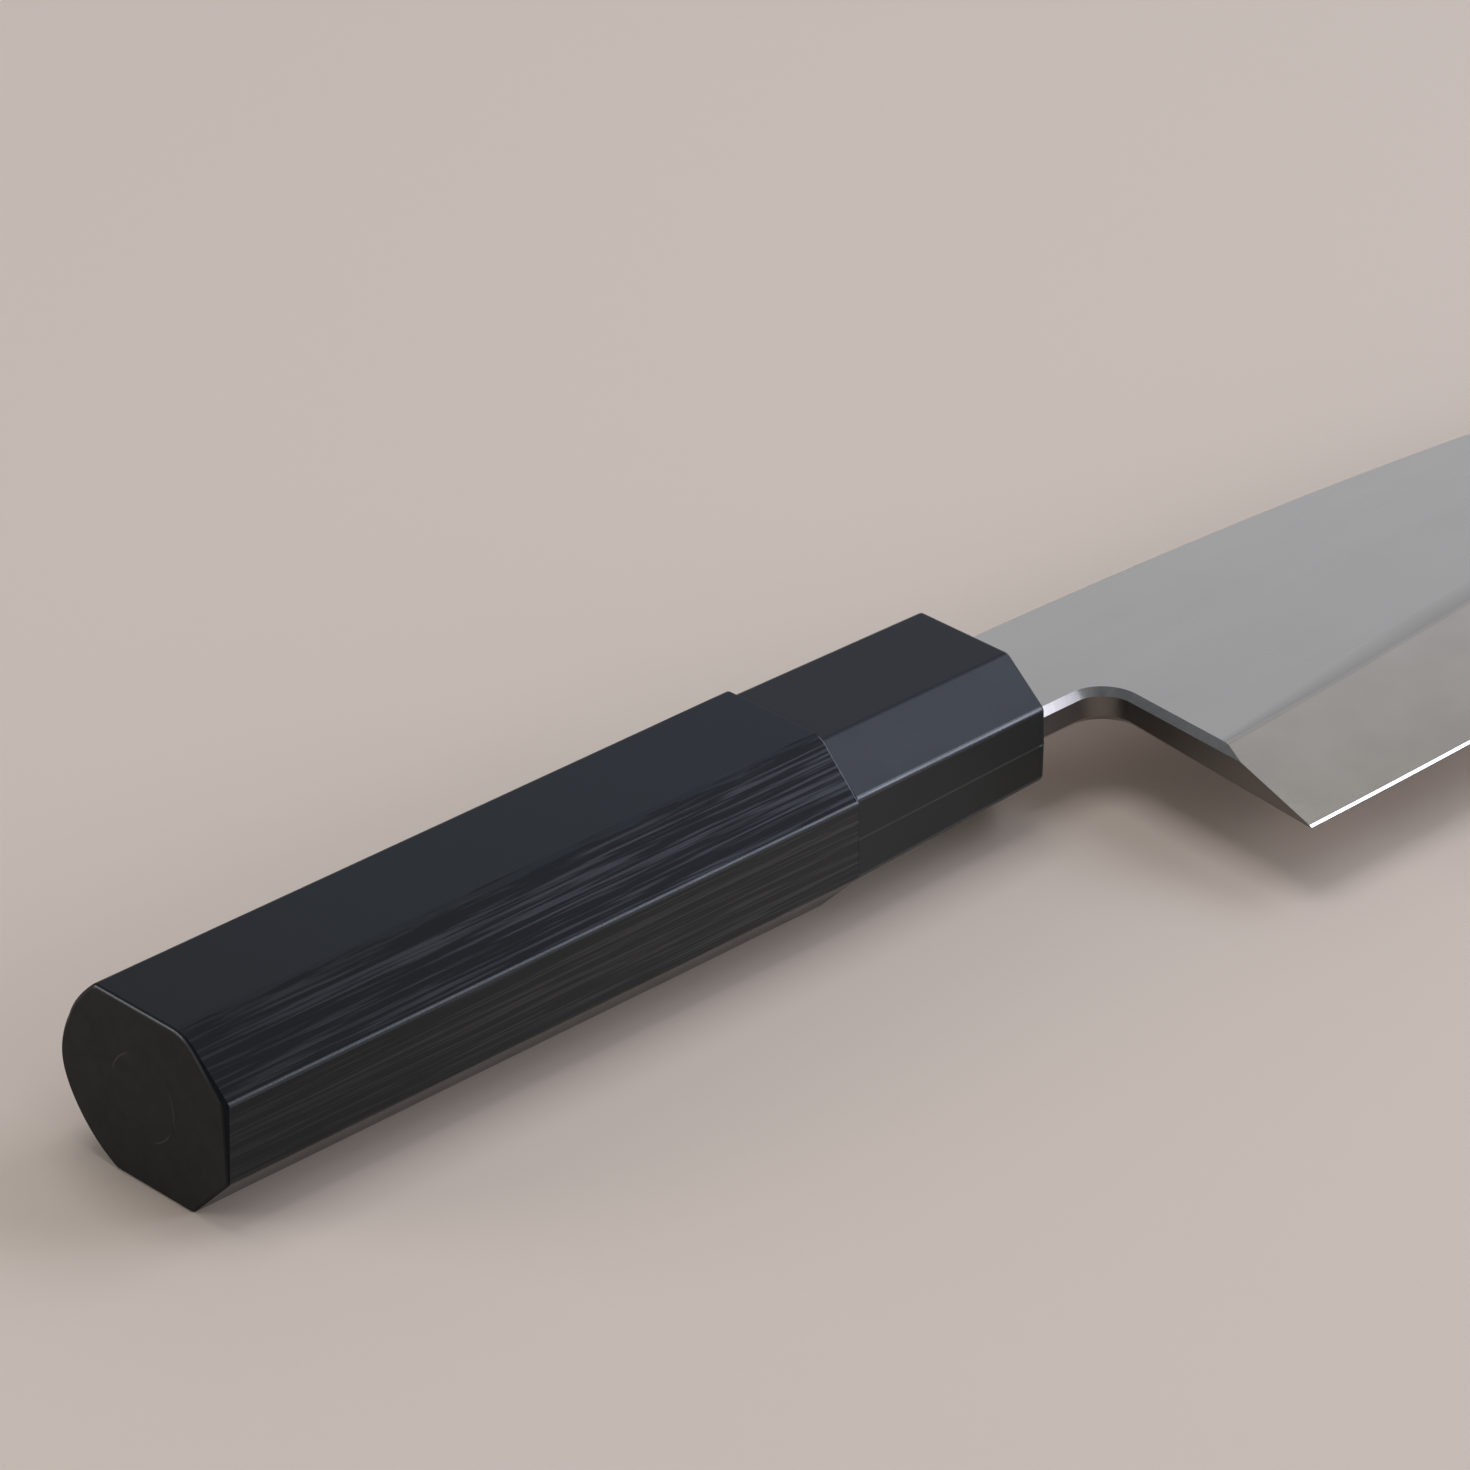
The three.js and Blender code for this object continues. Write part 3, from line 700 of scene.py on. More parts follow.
def wood_finish(name, flat, cut_tone, pore_and_glint, sheen, gloss=0.18, dull=0.74):
    """Black laminated wood: quiet on the flats, streaked where its layers are cut, its streaks partly
    painted pale as glints, with painted shade towards the butt
    """
    material, tree, shader = new_material(name)
    cut = layer_mask(tree)
    lines = 0
    for per_metre, detail, weight in WOOD_STREAKS:
        noise = drawn_noise(tree, per_metre, detail, LAYER_TURN)
        lines = combined(tree, "MULTIPLY_ADD", noise, weight, lines)
    streak = combined(tree, "MULTIPLY", spread(tree, lines, *STREAK, 0, 1), cut)
    ground = ramp(tree, cut, [(0, flat), (1, cut_tone)])
    # the streaks' paler tone is partly the layers' own and partly a painted glint
    tone = mixed_tone(tree, "MIX", ground, (*pore_and_glint, 1), streak)
    along = object_axes(tree)["X"]
    # painted light and shade: the wood's tone is darkened towards the butt and lightened towards the seam
    light = spread(tree, along, GRIP_LOW.x, FERRULE_LOW.x, BUTT_PAINTED_SHADE, SEAM_PAINTED_LIGHT)
    feed(tree, shader, Base_Color=shaded(tree, tone, light))
    gloss_x = GRIP_LOW.x + GLOSS_RUN * (FERRULE_LOW.x - GRIP_LOW.x)
    handled = spread(tree, along, GRIP_LOW.x, gloss_x, BUTT_GLOSS, 1)
    polished = combined(tree, "MULTIPLY", streak, handled)
    quiet = spread(tree, cut, 0, 1, FLATS_ROUGHNESS, dull)
    rough = combined(tree, "MULTIPLY_ADD", polished, -sheen, quiet)
    feed(tree, shader, Roughness=rough, Specular_IOR_Level=gloss)
    relief(tree, shader, combined(tree, "MULTIPLY", lines, cut), STREAK_DEPTH)
    return material


def worn_rim_finish(name, sizes):
    """The rim of the butt, rubbed smooth at the upper flat and dull further down, where painted shade
    also darkens it
    """
    material, tree, shader = new_material(name)
    dull_z = GRIP_HIGH.z - sizes.worn_depth
    smooth_z = GRIP_HIGH.z - sizes.worn_full
    worn = spread(tree, object_axes(tree)["Z"], dull_z, smooth_z, 0, 1)
    # painted shade: the rim is painted darker further down
    painted_shade_wood = tinted(sizes.end_wood, factor=0.1)
    feed(tree, shader, Base_Color=ramp(tree, worn, [(0, painted_shade_wood), (1, sizes.wood)]))
    rough = spread(tree, worn, 0, 1, to_low=0.8, to_high=0.28)
    feed(tree, shader, Roughness=rough, Specular_IOR_Level=0.5)
    return material


def painted_shade_rim_finish(name, tone):
    """The dull chamfer round the butt, painted dark as a shadow line"""
    material, tree, shader = new_material(name)
    pores = drawn_noise(tree, RIM_PORES)
    feed(tree, shader, Base_Color=mottled(tree, pores, tone, darker=0.35, lighter=0.6))
    feed(tree, shader, Specular_IOR_Level=0.1, Roughness=0.5)
    return material


def end_grain_finish(name, tone):
    """Sanded end grain: close pores and a soft cloudiness"""
    material, tree, shader = new_material(name)
    pores = drawn_noise(tree, END_PORES, detail=3)
    cloud = drawn_noise(tree, END_CLOUDS)
    feed(tree, shader, Base_Color=mottled(tree, cloud, tone, darker=0.9, lighter=1.12))
    rough = roughened(tree, pores, smooth=0.46, dull=0.58, part=MIDDLE)
    feed(tree, shader, Roughness=rough, Specular_IOR_Level=0.15)
    relief(tree, shader, pores, PORE_DEPTH)
    return material


def glue_line_finish(name, wood, glue, radius):
    """A glue line that shows in a few arcs round the plug"""
    material, tree, shader = new_material(name)
    apart = tree.nodes.new("ShaderNodeVectorMath")
    apart.operation = "SUBTRACT"
    tree.links.new(object_place(tree), apart.inputs[0])
    apart.inputs[1].default_value = AXIS
    shown = 0
    for middle, half, strength in GLUE_ARCS:
        turn = math.radians(middle)
        toward = reach_toward(tree, apart.outputs["Vector"], (0, math.cos(turn), math.sin(turn)))
        starts = radius * math.cos(math.radians(half))
        full = radius * math.cos(math.radians(half - GLUE_FADE))
        shown = combined(tree, "MAXIMUM", spread(tree, toward, starts, full, 0, strength), shown)
    feed(tree, shader, Base_Color=ramp(tree, shown, [(0, wood), (1, glue)]))
    feed(tree, shader, Roughness=0.5, Specular_IOR_Level=0.15)
    return material


def adhesive_finish(name, tone):
    """Cured adhesive with a slightly uneven, glossy skin"""
    material, tree, shader = new_material(name)
    skin = drawn_noise(tree, ADHESIVE_SKIN)
    feed(tree, shader, Base_Color=mottled(tree, skin, tone, darker=0.8, lighter=1))
    feed(tree, shader, Roughness=roughened(tree, skin, smooth=0.2, dull=0.35))
    relief(tree, shader, skin, SKIN_DEPTH)
    return material


def floor_finish(name, tone):
    """Plain pale floor"""
    material, tree, shader = new_material(name)
    feed(tree, shader, Base_Color=(*tone, 1), Roughness=0.6)
    return material


# Blade

FLAT, BEVEL, HOLLOW, RIM, SIDE, HONED, NECK_RIM = range(7)

BLADE_SMOOTH_ANGLE = math.radians(9)
# painted shade: how dark the ridge line is painted at its middle
CREST_PAINTED_SHADE = 0.6  # shading on the ridge line itself, as a share of that on its flat side
HOLLOW_STARTS = 2  # steps from the heel
HOLLOW_STEPS = 16  # steps across the hollow
HOLLOW_HOLD = 4  # power that keeps the hollow's depth until near its ends
CREST_DROP = 1 / 3  # how far the rounded ridge line drops, as a share of the rounding's outer drop
RUN_OUT = 1.5  # how many widths from the heel's corner the foot chamfer runs out


def blade_curves(sizes):
    """Edge, spine and ridge line, each drawn from the heel's end to the point"""
    heel = Vector((sizes.heel_setback, -HEEL_DROP, 0))
    point = Vector((POINT_X, -sizes.point_drop, 0))
    spine_start = Vector((sizes.heel_setback, NECK_SPINE, 0))
    edge = bezier(
        heel,
        away(heel, sizes.edge_straight, sizes.edge_rise),
        away(point, sizes.edge_pull, math.pi + sizes.edge_sweep),
        point,
        sizes.steps,
    )
    spine = bezier(
        spine_start,
        away(spine_start, sizes.spine_straight, 0),
        away(point, sizes.spine_pull, math.pi - sizes.spine_fall),
        point,
        sizes.steps,
    )
    ridge_start = away(heel, sizes.bevel_width, math.pi / 2 - sizes.heel_lean)
    ridge_end = away(point, sizes.ridge_offset, math.pi / 2)
    ridge = bezier(
        ridge_start,
        away(ridge_start, sizes.ridge_straight, sizes.ridge_rise),
        away(ridge_end, sizes.ridge_pull, math.pi + sizes.ridge_sweep),
        ridge_end,
        sizes.steps,
    )
    return edge, spine, ridge


def plate_taper(sizes):
    """How fast the plate grows thinner towards the point"""
    return (2 * BLADE_Z - sizes.point_thickness) / (POINT_X - sizes.heel_setback)


def plate_height(sizes, x):
    """Height of the plate's upper face"""
    return BLADE_Z - plate_taper(sizes) * (x - sizes.heel_setback)


def plate_outline(sizes, edge, spine):
    """The plate's outline, from the tang's end round by the edge and back along the spine"""
    turn = math.pi / 2 + sizes.heel_lean
    setback = sizes.choil_radius * math.tan(turn / 2)
    corner_x = sizes.heel_setback + (HEEL_DROP - sizes.neck_edge) * math.tan(sizes.heel_lean)
    middle = Vector((corner_x - setback, -sizes.neck_edge - sizes.choil_radius, -BLADE_Z))
    steps = sizes.steps // 3
    choil = [away(middle, sizes.choil_radius, math.pi / 2 - turn * i / steps) for i in range(steps + 1)]
    tang_low = Vector((TANG_X, -sizes.tang_end / 2, -BLADE_Z))
    shoulder_low = Vector((sizes.shoulder, -sizes.tang_height / 2, -BLADE_Z))
    neck_low = Vector((sizes.shoulder, -sizes.neck_edge, -BLADE_Z))
    neck_high = Vector((sizes.shoulder, NECK_SPINE, -BLADE_Z))
    shoulder_high = Vector((sizes.shoulder, sizes.tang_height / 2, -BLADE_Z))
    tang_high = Vector((TANG_X, sizes.tang_end / 2, -BLADE_Z))
    down = Vector((0, 0, -BLADE_Z))
    rim = [place + down for place in edge + spine[-2::-1]]
    return [tang_low, shoulder_low, neck_low, *choil, *rim, neck_high, shoulder_high, tang_high]


def foot_edges(bm, sizes):
    """The lower edges of the neck, the choil and the heel's back"""
    found = []
    for edge in bm.edges:
        ends = [v.co for v in edge.verts]
        behind_edge = sizes.shoulder < max(end.x for end in ends) < sizes.heel_setback + sizes.margin
        below_neck = 0 > max(end.y for end in ends) > -sizes.neck_edge - 2 * sizes.choil_radius
        if behind_edge and below_neck and all(end.z < 0 for end in ends):
            found.append(edge)
    return found


def plate(bm, sizes, edge, spine):
    """The plate with its chamfered rim, thinner towards the point"""
    prism(bm, plate_outline(sizes, edge, spine), Vector((0, 0, 2 * BLADE_Z)))
    upper = [e for e in bm.edges if all(v.co.z > 0 for v in e.verts)]
    soften(bm, [e for e in upper if max(v.co.x for v in e.verts) > sizes.shoulder], sizes.chamfer, 1)
    soften(bm, foot_edges(bm, sizes), sizes.foot_chamfer, 1)
    heel = Vector((sizes.heel_setback, -HEEL_DROP, -BLADE_Z))
    last = [v for v in bm.verts if (v.co - heel).length < RUN_OUT * sizes.foot_chamfer]
    bmesh.ops.pointmerge(bm, verts=last, merge_co=heel)
    bm.normal_update()
    for face in bm.faces:
        upright = abs(face.normal.z)
        face.material_index = FLAT if upright > SQUARE_ON else RIM if upright > LEANING else SIDE
        in_neck = 0 > face.calc_center_median().y > -sizes.neck_edge - sizes.choil_radius
        if face.material_index == RIM and face.normal.z > 0 and in_neck:
            face.material_index = NECK_RIM
    slice_across(bm, (sizes.heel_setback, 0, 0), (1, 0, 0))
    tilt = Matrix.Identity(4)
    tilt[2][0] = -plate_taper(sizes)
    tilt[2][3] = plate_taper(sizes) * sizes.heel_setback
    tapered = [v for v in bm.verts if v.co.z > 0 and v.co.x > sizes.heel_setback]
    bmesh.ops.transform(bm, matrix=tilt, verts=tapered)


def ridge_roll(sizes, along):
    """How far the flat falls towards the ridge line at a share of the blade's length"""
    grown = min(1, along / sizes.roll_grows)
    return sizes.heel_roll + (sizes.ridge_roll - sizes.heel_roll) * grown


def bevel_section(sizes, edge, ridge, along):
    """One section of the space above the bevel, with the ridge line's rounding"""
    width = (ridge - edge).length
    across = (ridge - edge) / width
    plate_z = plate_height(sizes, ridge.x)
    honed_z = sizes.honed_thickness - BLADE_Z
    honed_slope = (sizes.honed_thickness - sizes.edge_thickness) / sizes.honed_width
    slope = (plate_z - honed_z) / (width - sizes.honed_width)
    soft = sizes.ridge_soft
    roll = ridge_roll(sizes, along)
    rolled = (roll - soft) * math.tan(sizes.roll_fall)

    def at(distance, z):
        place = edge + across * distance
        return Vector((place.x, place.y, z))

    outer_z = sizes.edge_thickness - BLADE_Z - honed_slope * sizes.honed_width
    over = plate_z + sizes.margin
    return [
        at(-sizes.honed_width, outer_z),
        at(sizes.honed_width, honed_z),
        at(width - soft, plate_z - soft * slope),
        at(width, plate_z - rolled - CREST_DROP * soft * slope),
        at(width + soft, plate_z - rolled),
        at(width + roll, plate_z),
        at(width + roll + sizes.margin, plate_z + slope * sizes.margin),
        at(width + roll + sizes.margin, over),
        at(-sizes.honed_width, over),
    ]


def bevel_space(sizes, edge, ridge):
    """What the grinder takes off between the ridge line and the cutting edge"""
    bm = bmesh.new()
    before = Vector((-sizes.margin, 0, 0))
    first = bevel_section(sizes, edge[0] + before, ridge[0] + before, 0)
    last = bevel_section(sizes, edge[-1] - before, ridge[-1] - before, 1)
    shares = [i / sizes.steps for i in range(sizes.steps + 1)]
    middle = [bevel_section(sizes, *places) for places in zip(edge, ridge, shares)]
    loft(bm, [first, *middle, last])
    for face in bm.faces:
        face.material_index = BEVEL
    return bm


def hollow_space(sizes, edge, spine):
    """What the wheel takes off the flat side between its rims"""
    bm = bmesh.new()
    sections = []
    across = [2 * j / HOLLOW_STEPS - 1 for j in range(HOLLOW_STEPS + 1)]
    for i in range(HOLLOW_STARTS, sizes.steps):
        low, high = edge[i], spine[i]
        width = (high - low).length
        if width < 2 * sizes.hollow_rim + sizes.hollow_least:
            continue
        along = 2 * (i - HOLLOW_STARTS + 1) / sizes.steps - 1
        depth = sizes.hollow_depth * (1 - along**HOLLOW_HOLD)

        def at(side, height):
            inset = sizes.hollow_rim + (side + 1) / 2 * (width - 2 * sizes.hollow_rim)
            place = low + (high - low) * inset / width
            return Vector((place.x, place.y, height - BLADE_Z))

        arc = [at(side, depth * (1 - side**2)) for side in across]
        sections.append([at(-1, -sizes.margin), at(1, -sizes.margin), *reversed(arc)])
    loft(bm, sections)
    for face in bm.faces:
        face.material_index = HOLLOW
    return bm


def gap_to(line, place):
    """How far a place is from a row of points, seen from above: positive towards the spine"""
    flat = place.xy.to_3d()
    gaps = []
    for start, end in zip(line, line[1:]):
        along = intersect_point_line(flat, start, end)[1]
        gaps.append(flat - start.lerp(end, min(1, max(0, along))))
    nearest = min(gaps, key=lambda gap: gap.length)
    return math.copysign(nearest.length, nearest.y)


def mark_grinds(bm, sizes, edge, ridge):
    """Picks out the honed strip, and notes how near each corner of the bevel is to the ridge line, for
    its painted shade
    """
    shade = bm.verts.layers.float.new(RIDGE_PAINTED_SHADE)
    for face in bm.faces:
        if face.material_index != BEVEL:
            continue
        if gap_to(edge, face.calc_center_median()) < sizes.honed_width:
            face.material_index = HONED
        if gap_to(ridge, face.calc_center_median()) > 0:
            face.material_index = FLAT
        for corner in face.verts:
            gap = gap_to(ridge, corner.co)
            if sizes.ridge_soft / 2 < gap < sizes.ridge_soft * 3 / 2:
                corner[shade] = 1
            elif abs(gap) < sizes.ridge_soft / 2:
                corner[shade] = CREST_PAINTED_SHADE


class DEBA_OT_blade(Operator):
    """Make the blade with its neck and tang, ground on one side and hollow on the other"""

    bl_idname = "deba.blade"
    bl_label = "Blade"

    def execute(self, context):
        sizes = context.scene.deba_blade
        edge, spine, ridge = blade_curves(sizes)
        bm = bmesh.new()
        plate(bm, sizes, edge, spine)
        combine(bm, bevel_space(sizes, edge, ridge), "DIFFERENCE")
        combine(bm, hollow_space(sizes, edge, spine), "DIFFERENCE")
        mark_grinds(bm, sizes, edge, ridge)
        # the flat's and the hollow's tones paint shade towards the heel
        satin = (sizes.heel_painted_shade_steel, sizes.steel)
        ground = (sizes.warm_steel, sizes.bevel_steel)
        # the neck's chamfer runs from a painted highlight at the ferrule to painted shade at the choil
        between = (Vector(sizes.neck_rim_highlight) + Vector(sizes.choil_rim_shade)) / 2
        turned = (sizes.neck_rim_highlight, between, sizes.choil_rim_shade, sizes.rim_painted_shade_steel)
        rim = [sizes.rim_painted_shade_steel] * 2
        side = [sizes.side_steel_dull_and_shaded] * 2
        honed = [sizes.steel] * 2
        shade = sizes.ridge_painted_shade
        bevel_look = {"shade": shade, "clouds": 0.92, "span": BEVEL_SPAN}
        materials = [
            steel_finish("satin_steel", satin, roughness=0.28, lines=FLAT_LINES, shade=shade),
            steel_finish("ground_bevel_steel", ground, roughness=0.14, lines=BEVEL_LINES, **bevel_look),
            steel_finish("hollow_ground_steel", satin, 0.36, HOLLOW_LINES, line_depth=GRIND_DEPTH),
            steel_finish("ground_rim_painted_shade_steel", rim, roughness=0.22, lines=RIM_LINES),
            steel_finish("dull_side_steel_painted_shade", side, 0.4, RIM_LINES, line_depth=GRIND_DEPTH),
            steel_finish("honed_steel", honed, roughness=0.16, lines=HONED_LINES),
            steel_finish("neck_rim_painted_light_steel", turned, roughness=0.22, lines=RIM_LINES, span=NECK_SPAN),
        ]
        crisp = (FLAT, HOLLOW)
        finish_piece(bm, "blade_steel_body", "blade", materials, BLADE_SMOOTH_ANGLE, crisp)
        return {"FINISHED"}


# Ferrule

RESIN, BURNISHED, PAINTED_LIT_SIDE_RESIN, PAINTED_HIGHLIGHT_LINE = range(4)


def ferrule_section(sizes, x, flat, edge, edge_flat, reach, spine):
    """One eight-sided section of the ferrule"""
    corners = [
        (-reach, flat),
        (-edge, edge_flat / 2),
        (-edge, -edge_flat / 2),
        (-reach, -flat),
        (sizes.lower_reach, -flat),
        (spine, -sizes.spine_flat / 2),
        (spine, sizes.spine_flat / 2),
        (sizes.upper_reach, flat),
    ]
    return [Vector((x, y, z)) for y, z in corners]


def mould_line(bm, sizes):
    """Sides that fall away, with the mould's draft, from a thin raised line where its halves met; the
    line gets a painted highlight and the upright sides painted light
    """
    half = sizes.seam_width / 2
    for z in (-half, 0, half):
        slice_across(bm, (0, 0, z), (0, 0, 1))
    for x in (-sizes.nub_reach, 0, sizes.nub_reach):
        slice_across(bm, (sizes.nub_place + x, 0, 0), (1, 0, 0))
    for side in (-1, 1):
        belt = [v for v in bm.verts if abs(v.co.z) < half + WELD and v.co.y * side > 0]
        line = [v for v in belt if abs(v.co.z) < WELD]
        nub = [v for v in line if abs(v.co.x - sizes.nub_place) < WELD]
        bmesh.ops.translate(bm, verts=belt, vec=(0, side * sizes.draft, 0))
        bmesh.ops.translate(bm, verts=line, vec=(0, side * sizes.seam_height, 0))
        bmesh.ops.translate(bm, verts=nub, vec=(0, side * sizes.nub_height, 0))
    bm.normal_update()
    for face in bm.faces:
        sideways = abs(face.normal.y)
        if face.material_index != RESIN or sideways < SLANTED:
            continue
        # the raised mould line is painted pale: a painted highlight
        if abs(face.calc_center_median().z) < half:
            face.material_index = PAINTED_HIGHLIGHT_LINE
        # the upright sides get the lit copy of the resin: painted light
        elif sideways > SQUARE_ON:
            face.material_index = PAINTED_LIT_SIDE_RESIN


class DEBA_OT_ferrule(Operator):
    """Make the moulded ferrule, with its socket and the slot for the neck"""

    bl_idname = "deba.ferrule"
    bl_label = "Ferrule"

    def execute(self, context):
        sizes = context.scene.deba_ferrule
        blade = context.scene.deba_blade
        grip = context.scene.deba_grip
        flat = FERRULE_HIGH.z - AXIS.z
        edge = AXIS.y - FERRULE_LOW.y
        spine = FERRULE_HIGH.y - AXIS.y
        rear = ferrule_section(sizes, SEAM_X, flat, edge, sizes.rear_edge_flat, sizes.rear_reach, spine)
        front = ferrule_section(
            sizes,
            0,
            flat - sizes.taper_flat,
            edge - sizes.taper_edge,
            sizes.front_edge_flat,
            sizes.front_reach,
            spine - sizes.taper_spine,
        )
        bm = bmesh.new()
        loft(bm, [rear, front])
        beyond = -(sizes.rear_reach + edge) / 2
        long_edges = [e for e in bm.edges if along_x(e, TAPERED)]
        soften(bm, [e for e in long_edges if e.verts[0].co.y > beyond], sizes.edge_round, ROUND_STEPS)
        long_edges = [e for e in bm.edges if along_x(e, TAPERED)]
        side_edges = [e for e in long_edges if e.verts[0].co.y < beyond]
        for face in soften(bm, side_edges, sizes.edge_round, ROUND_STEPS):
            face.material_index = BURNISHED
        for face in soften(bm, edges_at(bm, 0), sizes.front_round, ROUND_STEPS):
            face.material_index = BURNISHED
        soften(bm, edges_at(bm, SEAM_X), sizes.rear_round, RIM_STEPS)
        mould_line(bm, sizes)
        socket = bmesh.new()
        gap = sizes.socket_gap
        half = Vector((0, grip.tenon_width / 2 + gap, grip.tenon_height / 2 + gap))
        behind = Vector((SEAM_X - blade.margin, 0, 0))
        wall = Vector((-sizes.front_wall, 0, 0))
        rounded_block(socket, behind - half, wall + half, grip.tenon_corner + gap)
        combine(bm, socket, "DIFFERENCE")
        slot = bmesh.new()
        block(
            slot,
            wall + Vector((-blade.margin, -blade.neck_edge - sizes.slot_gap, -BLADE_Z - sizes.slot_gap)),
            Vector((blade.margin, NECK_SPINE + sizes.slot_gap, BLADE_Z + sizes.slot_gap)),
        )
        combine(bm, slot, "DIFFERENCE")
        burnished = {"rub_lines": RESIN_RUB, "gloss": 0.6, "smooth": 0.2, "dull": 0.3}
        materials = [
            resin_finish("moulded_resin", sizes.resin),
            rubbed_finish("burnished_resin_edge", sizes.resin, **burnished),
            resin_finish("moulded_resin_painted_lit_side", sizes.lit_side_resin),
            resin_finish("mould_line_painted_highlight", sizes.line_highlight_resin),
        ]
        finish_piece(bm, "ferrule_moulding", "ferrule", materials)
        return {"FINISHED"}


# Grip and butt plug

WOOD, END_GRAIN, WORN, PAINTED_SHADE_RIM, PAINTED_LIT_SIDE_WOOD, PAINTED_HIGHLIGHT_EDGE, UNDERSIDE, WORN_RIM = range(8)
PLUG_END, GLUE_LINE = range(2)

FILLET_PULL = 0.64  # how far a rounded corner's curve is pulled towards the corner
FILLET_STEPS = 5
CROWN_STEPS = 24
BUTT_FACING = 0.999  # how squarely the end grain faces backwards
RIM_SWELL = 3  # power that keeps the butt's chamfer narrow until near its widest place
RIM_EASE = 1 / 4  # where the rim's rounding has its middle facet


def fillet(before, corner, after, reach):
    """A rounded corner"""
    start = corner + (before - corner).normalized() * reach
    end = corner + (after - corner).normalized() * reach
    first = start.lerp(corner, FILLET_PULL)
    second = end.lerp(corner, FILLET_PULL)
    return bezier(start, first, second, end, FILLET_STEPS)


def grip_section(sizes, soft_round):
    """The grip's section, from the upper flat round by the edge side to the crown and back"""
    upper_edge = Vector((0, -sizes.flat_reach, GRIP_FLAT))
    side_upper = Vector((0, -GRIP_SIDE, sizes.side_flat / 2))
    side_lower = Vector((0, -GRIP_SIDE, -sizes.side_flat / 2))
    lower_edge = Vector((0, -sizes.flat_reach, -GRIP_FLAT))
    lower_end = Vector((0, sizes.lower_reach, -GRIP_FLAT))
    crown = Vector((0, GRIP_SIDE, 0))
    upper_end = Vector((0, sizes.upper_reach, GRIP_FLAT))
    climb = Vector((0, math.cos(sizes.lower_climb), math.sin(sizes.lower_climb)))
    fall = Vector((0, math.cos(sizes.upper_fall), -math.sin(sizes.upper_fall)))
    rise = Vector((0, 0, 1))
    lower = bezier(
        lower_end,
        lower_end + climb * sizes.lower_pull,
        crown - rise * sizes.crown_lower,
        crown,
        CROWN_STEPS,
    )
    upper = bezier(
        crown,
        crown + rise * sizes.crown_upper,
        upper_end + fall * sizes.upper_pull,
        upper_end,
        CROWN_STEPS,
    )
    return [
        *fillet(upper_end, upper_edge, side_upper, soft_round),
        *fillet(upper_edge, side_upper, side_lower, sizes.edge_round),
        *fillet(side_upper, side_lower, lower_edge, sizes.edge_round),
        *fillet(side_lower, lower_edge, lower_end, sizes.edge_round),
        *fillet(lower_edge, lower_end, lower[1], sizes.edge_round),
        *lower[1:],
        *upper[1:-1],
        *fillet(upper[-2], upper_end, upper_edge, sizes.edge_round),
    ]


def grip_ring(outline, moves):
    """The outline with each point set along the knife and drawn in towards the axis"""
    return [
        Vector((x, 0, 0)) + point * (1 - inset / point.length)
        for point, (x, inset) in zip(outline, moves)
    ]


def grip_body(bm, sizes):
    """The grip outside the ferrule: its butt rim is chamfered less at the upper flat than below it"""
    outline = grip_section(sizes, sizes.soft_round)
    seam_outline = grip_section(sizes, sizes.seam_round)
    worn_corner = Vector((0, -GRIP_SIDE, sizes.side_flat / 2))
    widest = sizes.side_flat / 2
    rims = []
    for point in outline:
        least = sizes.rim_top if point.z > widest else sizes.rim_foot
        end = GRIP_FLAT if point.z > widest else -GRIP_FLAT
        near = (end - point.z) / (end - widest)
        rims.append(sizes.butt_chamfer * (least + (1 - least) * near**RIM_SWELL))
    small = sizes.rim_round
    diagonal = small * math.sqrt(0.5)
    eased = (small - diagonal) * RIM_EASE
    count = len(outline)
    sections = [
        grip_ring(outline, [(BUTT_X, rim + small) for rim in rims]),
        grip_ring(outline, [(BUTT_X + diagonal * RIM_EASE, rim + eased) for rim in rims]),
        grip_ring(outline, [(BUTT_X + diagonal, rim - diagonal) for rim in rims]),
        grip_ring(outline, [(BUTT_X + rim, 0) for rim in rims]),
        grip_ring(seam_outline, [(SEAM_X - small, 0)] * count),
        grip_ring(seam_outline, [(SEAM_X - small + diagonal, small - diagonal)] * count),
        grip_ring(seam_outline, [(SEAM_X, small)] * count),
    ]
    bands = loft(bm, sections)
    for face in bands[0] + bands[1]:
        middle = face.calc_center_median()
        on_top = middle.z > GRIP_FLAT - sizes.worn_depth and middle.y < sizes.upper_reach
        face.material_index = WORN_RIM if on_top else END_GRAIN
    # painted shade: the chamfer's dark line round the butt
    for face in bands[2]:
        face.material_index = PAINTED_SHADE_RIM
    # painted highlight on the seam's edge where it faces the light
    for face in bands[4] + bands[5]:
        if face.normal.y < -TURNED and face.normal.z > LEANING:
            face.material_index = PAINTED_HIGHLIGHT_EDGE
    for face in bands[3]:
        middle = face.calc_center_median()
        middle.x = 0
        if (middle - worn_corner).length < sizes.edge_round:
            face.material_index = WORN
        # the lower chamfer and the side get the lit copy of the wood: painted light
        elif face.normal.y < -TURNED and face.normal.z < -TURNED:
            face.material_index = UNDERSIDE
        elif face.normal.y < -TURNED and face.normal.z < TURNED:
            face.material_index = PAINTED_LIT_SIDE_WOOD


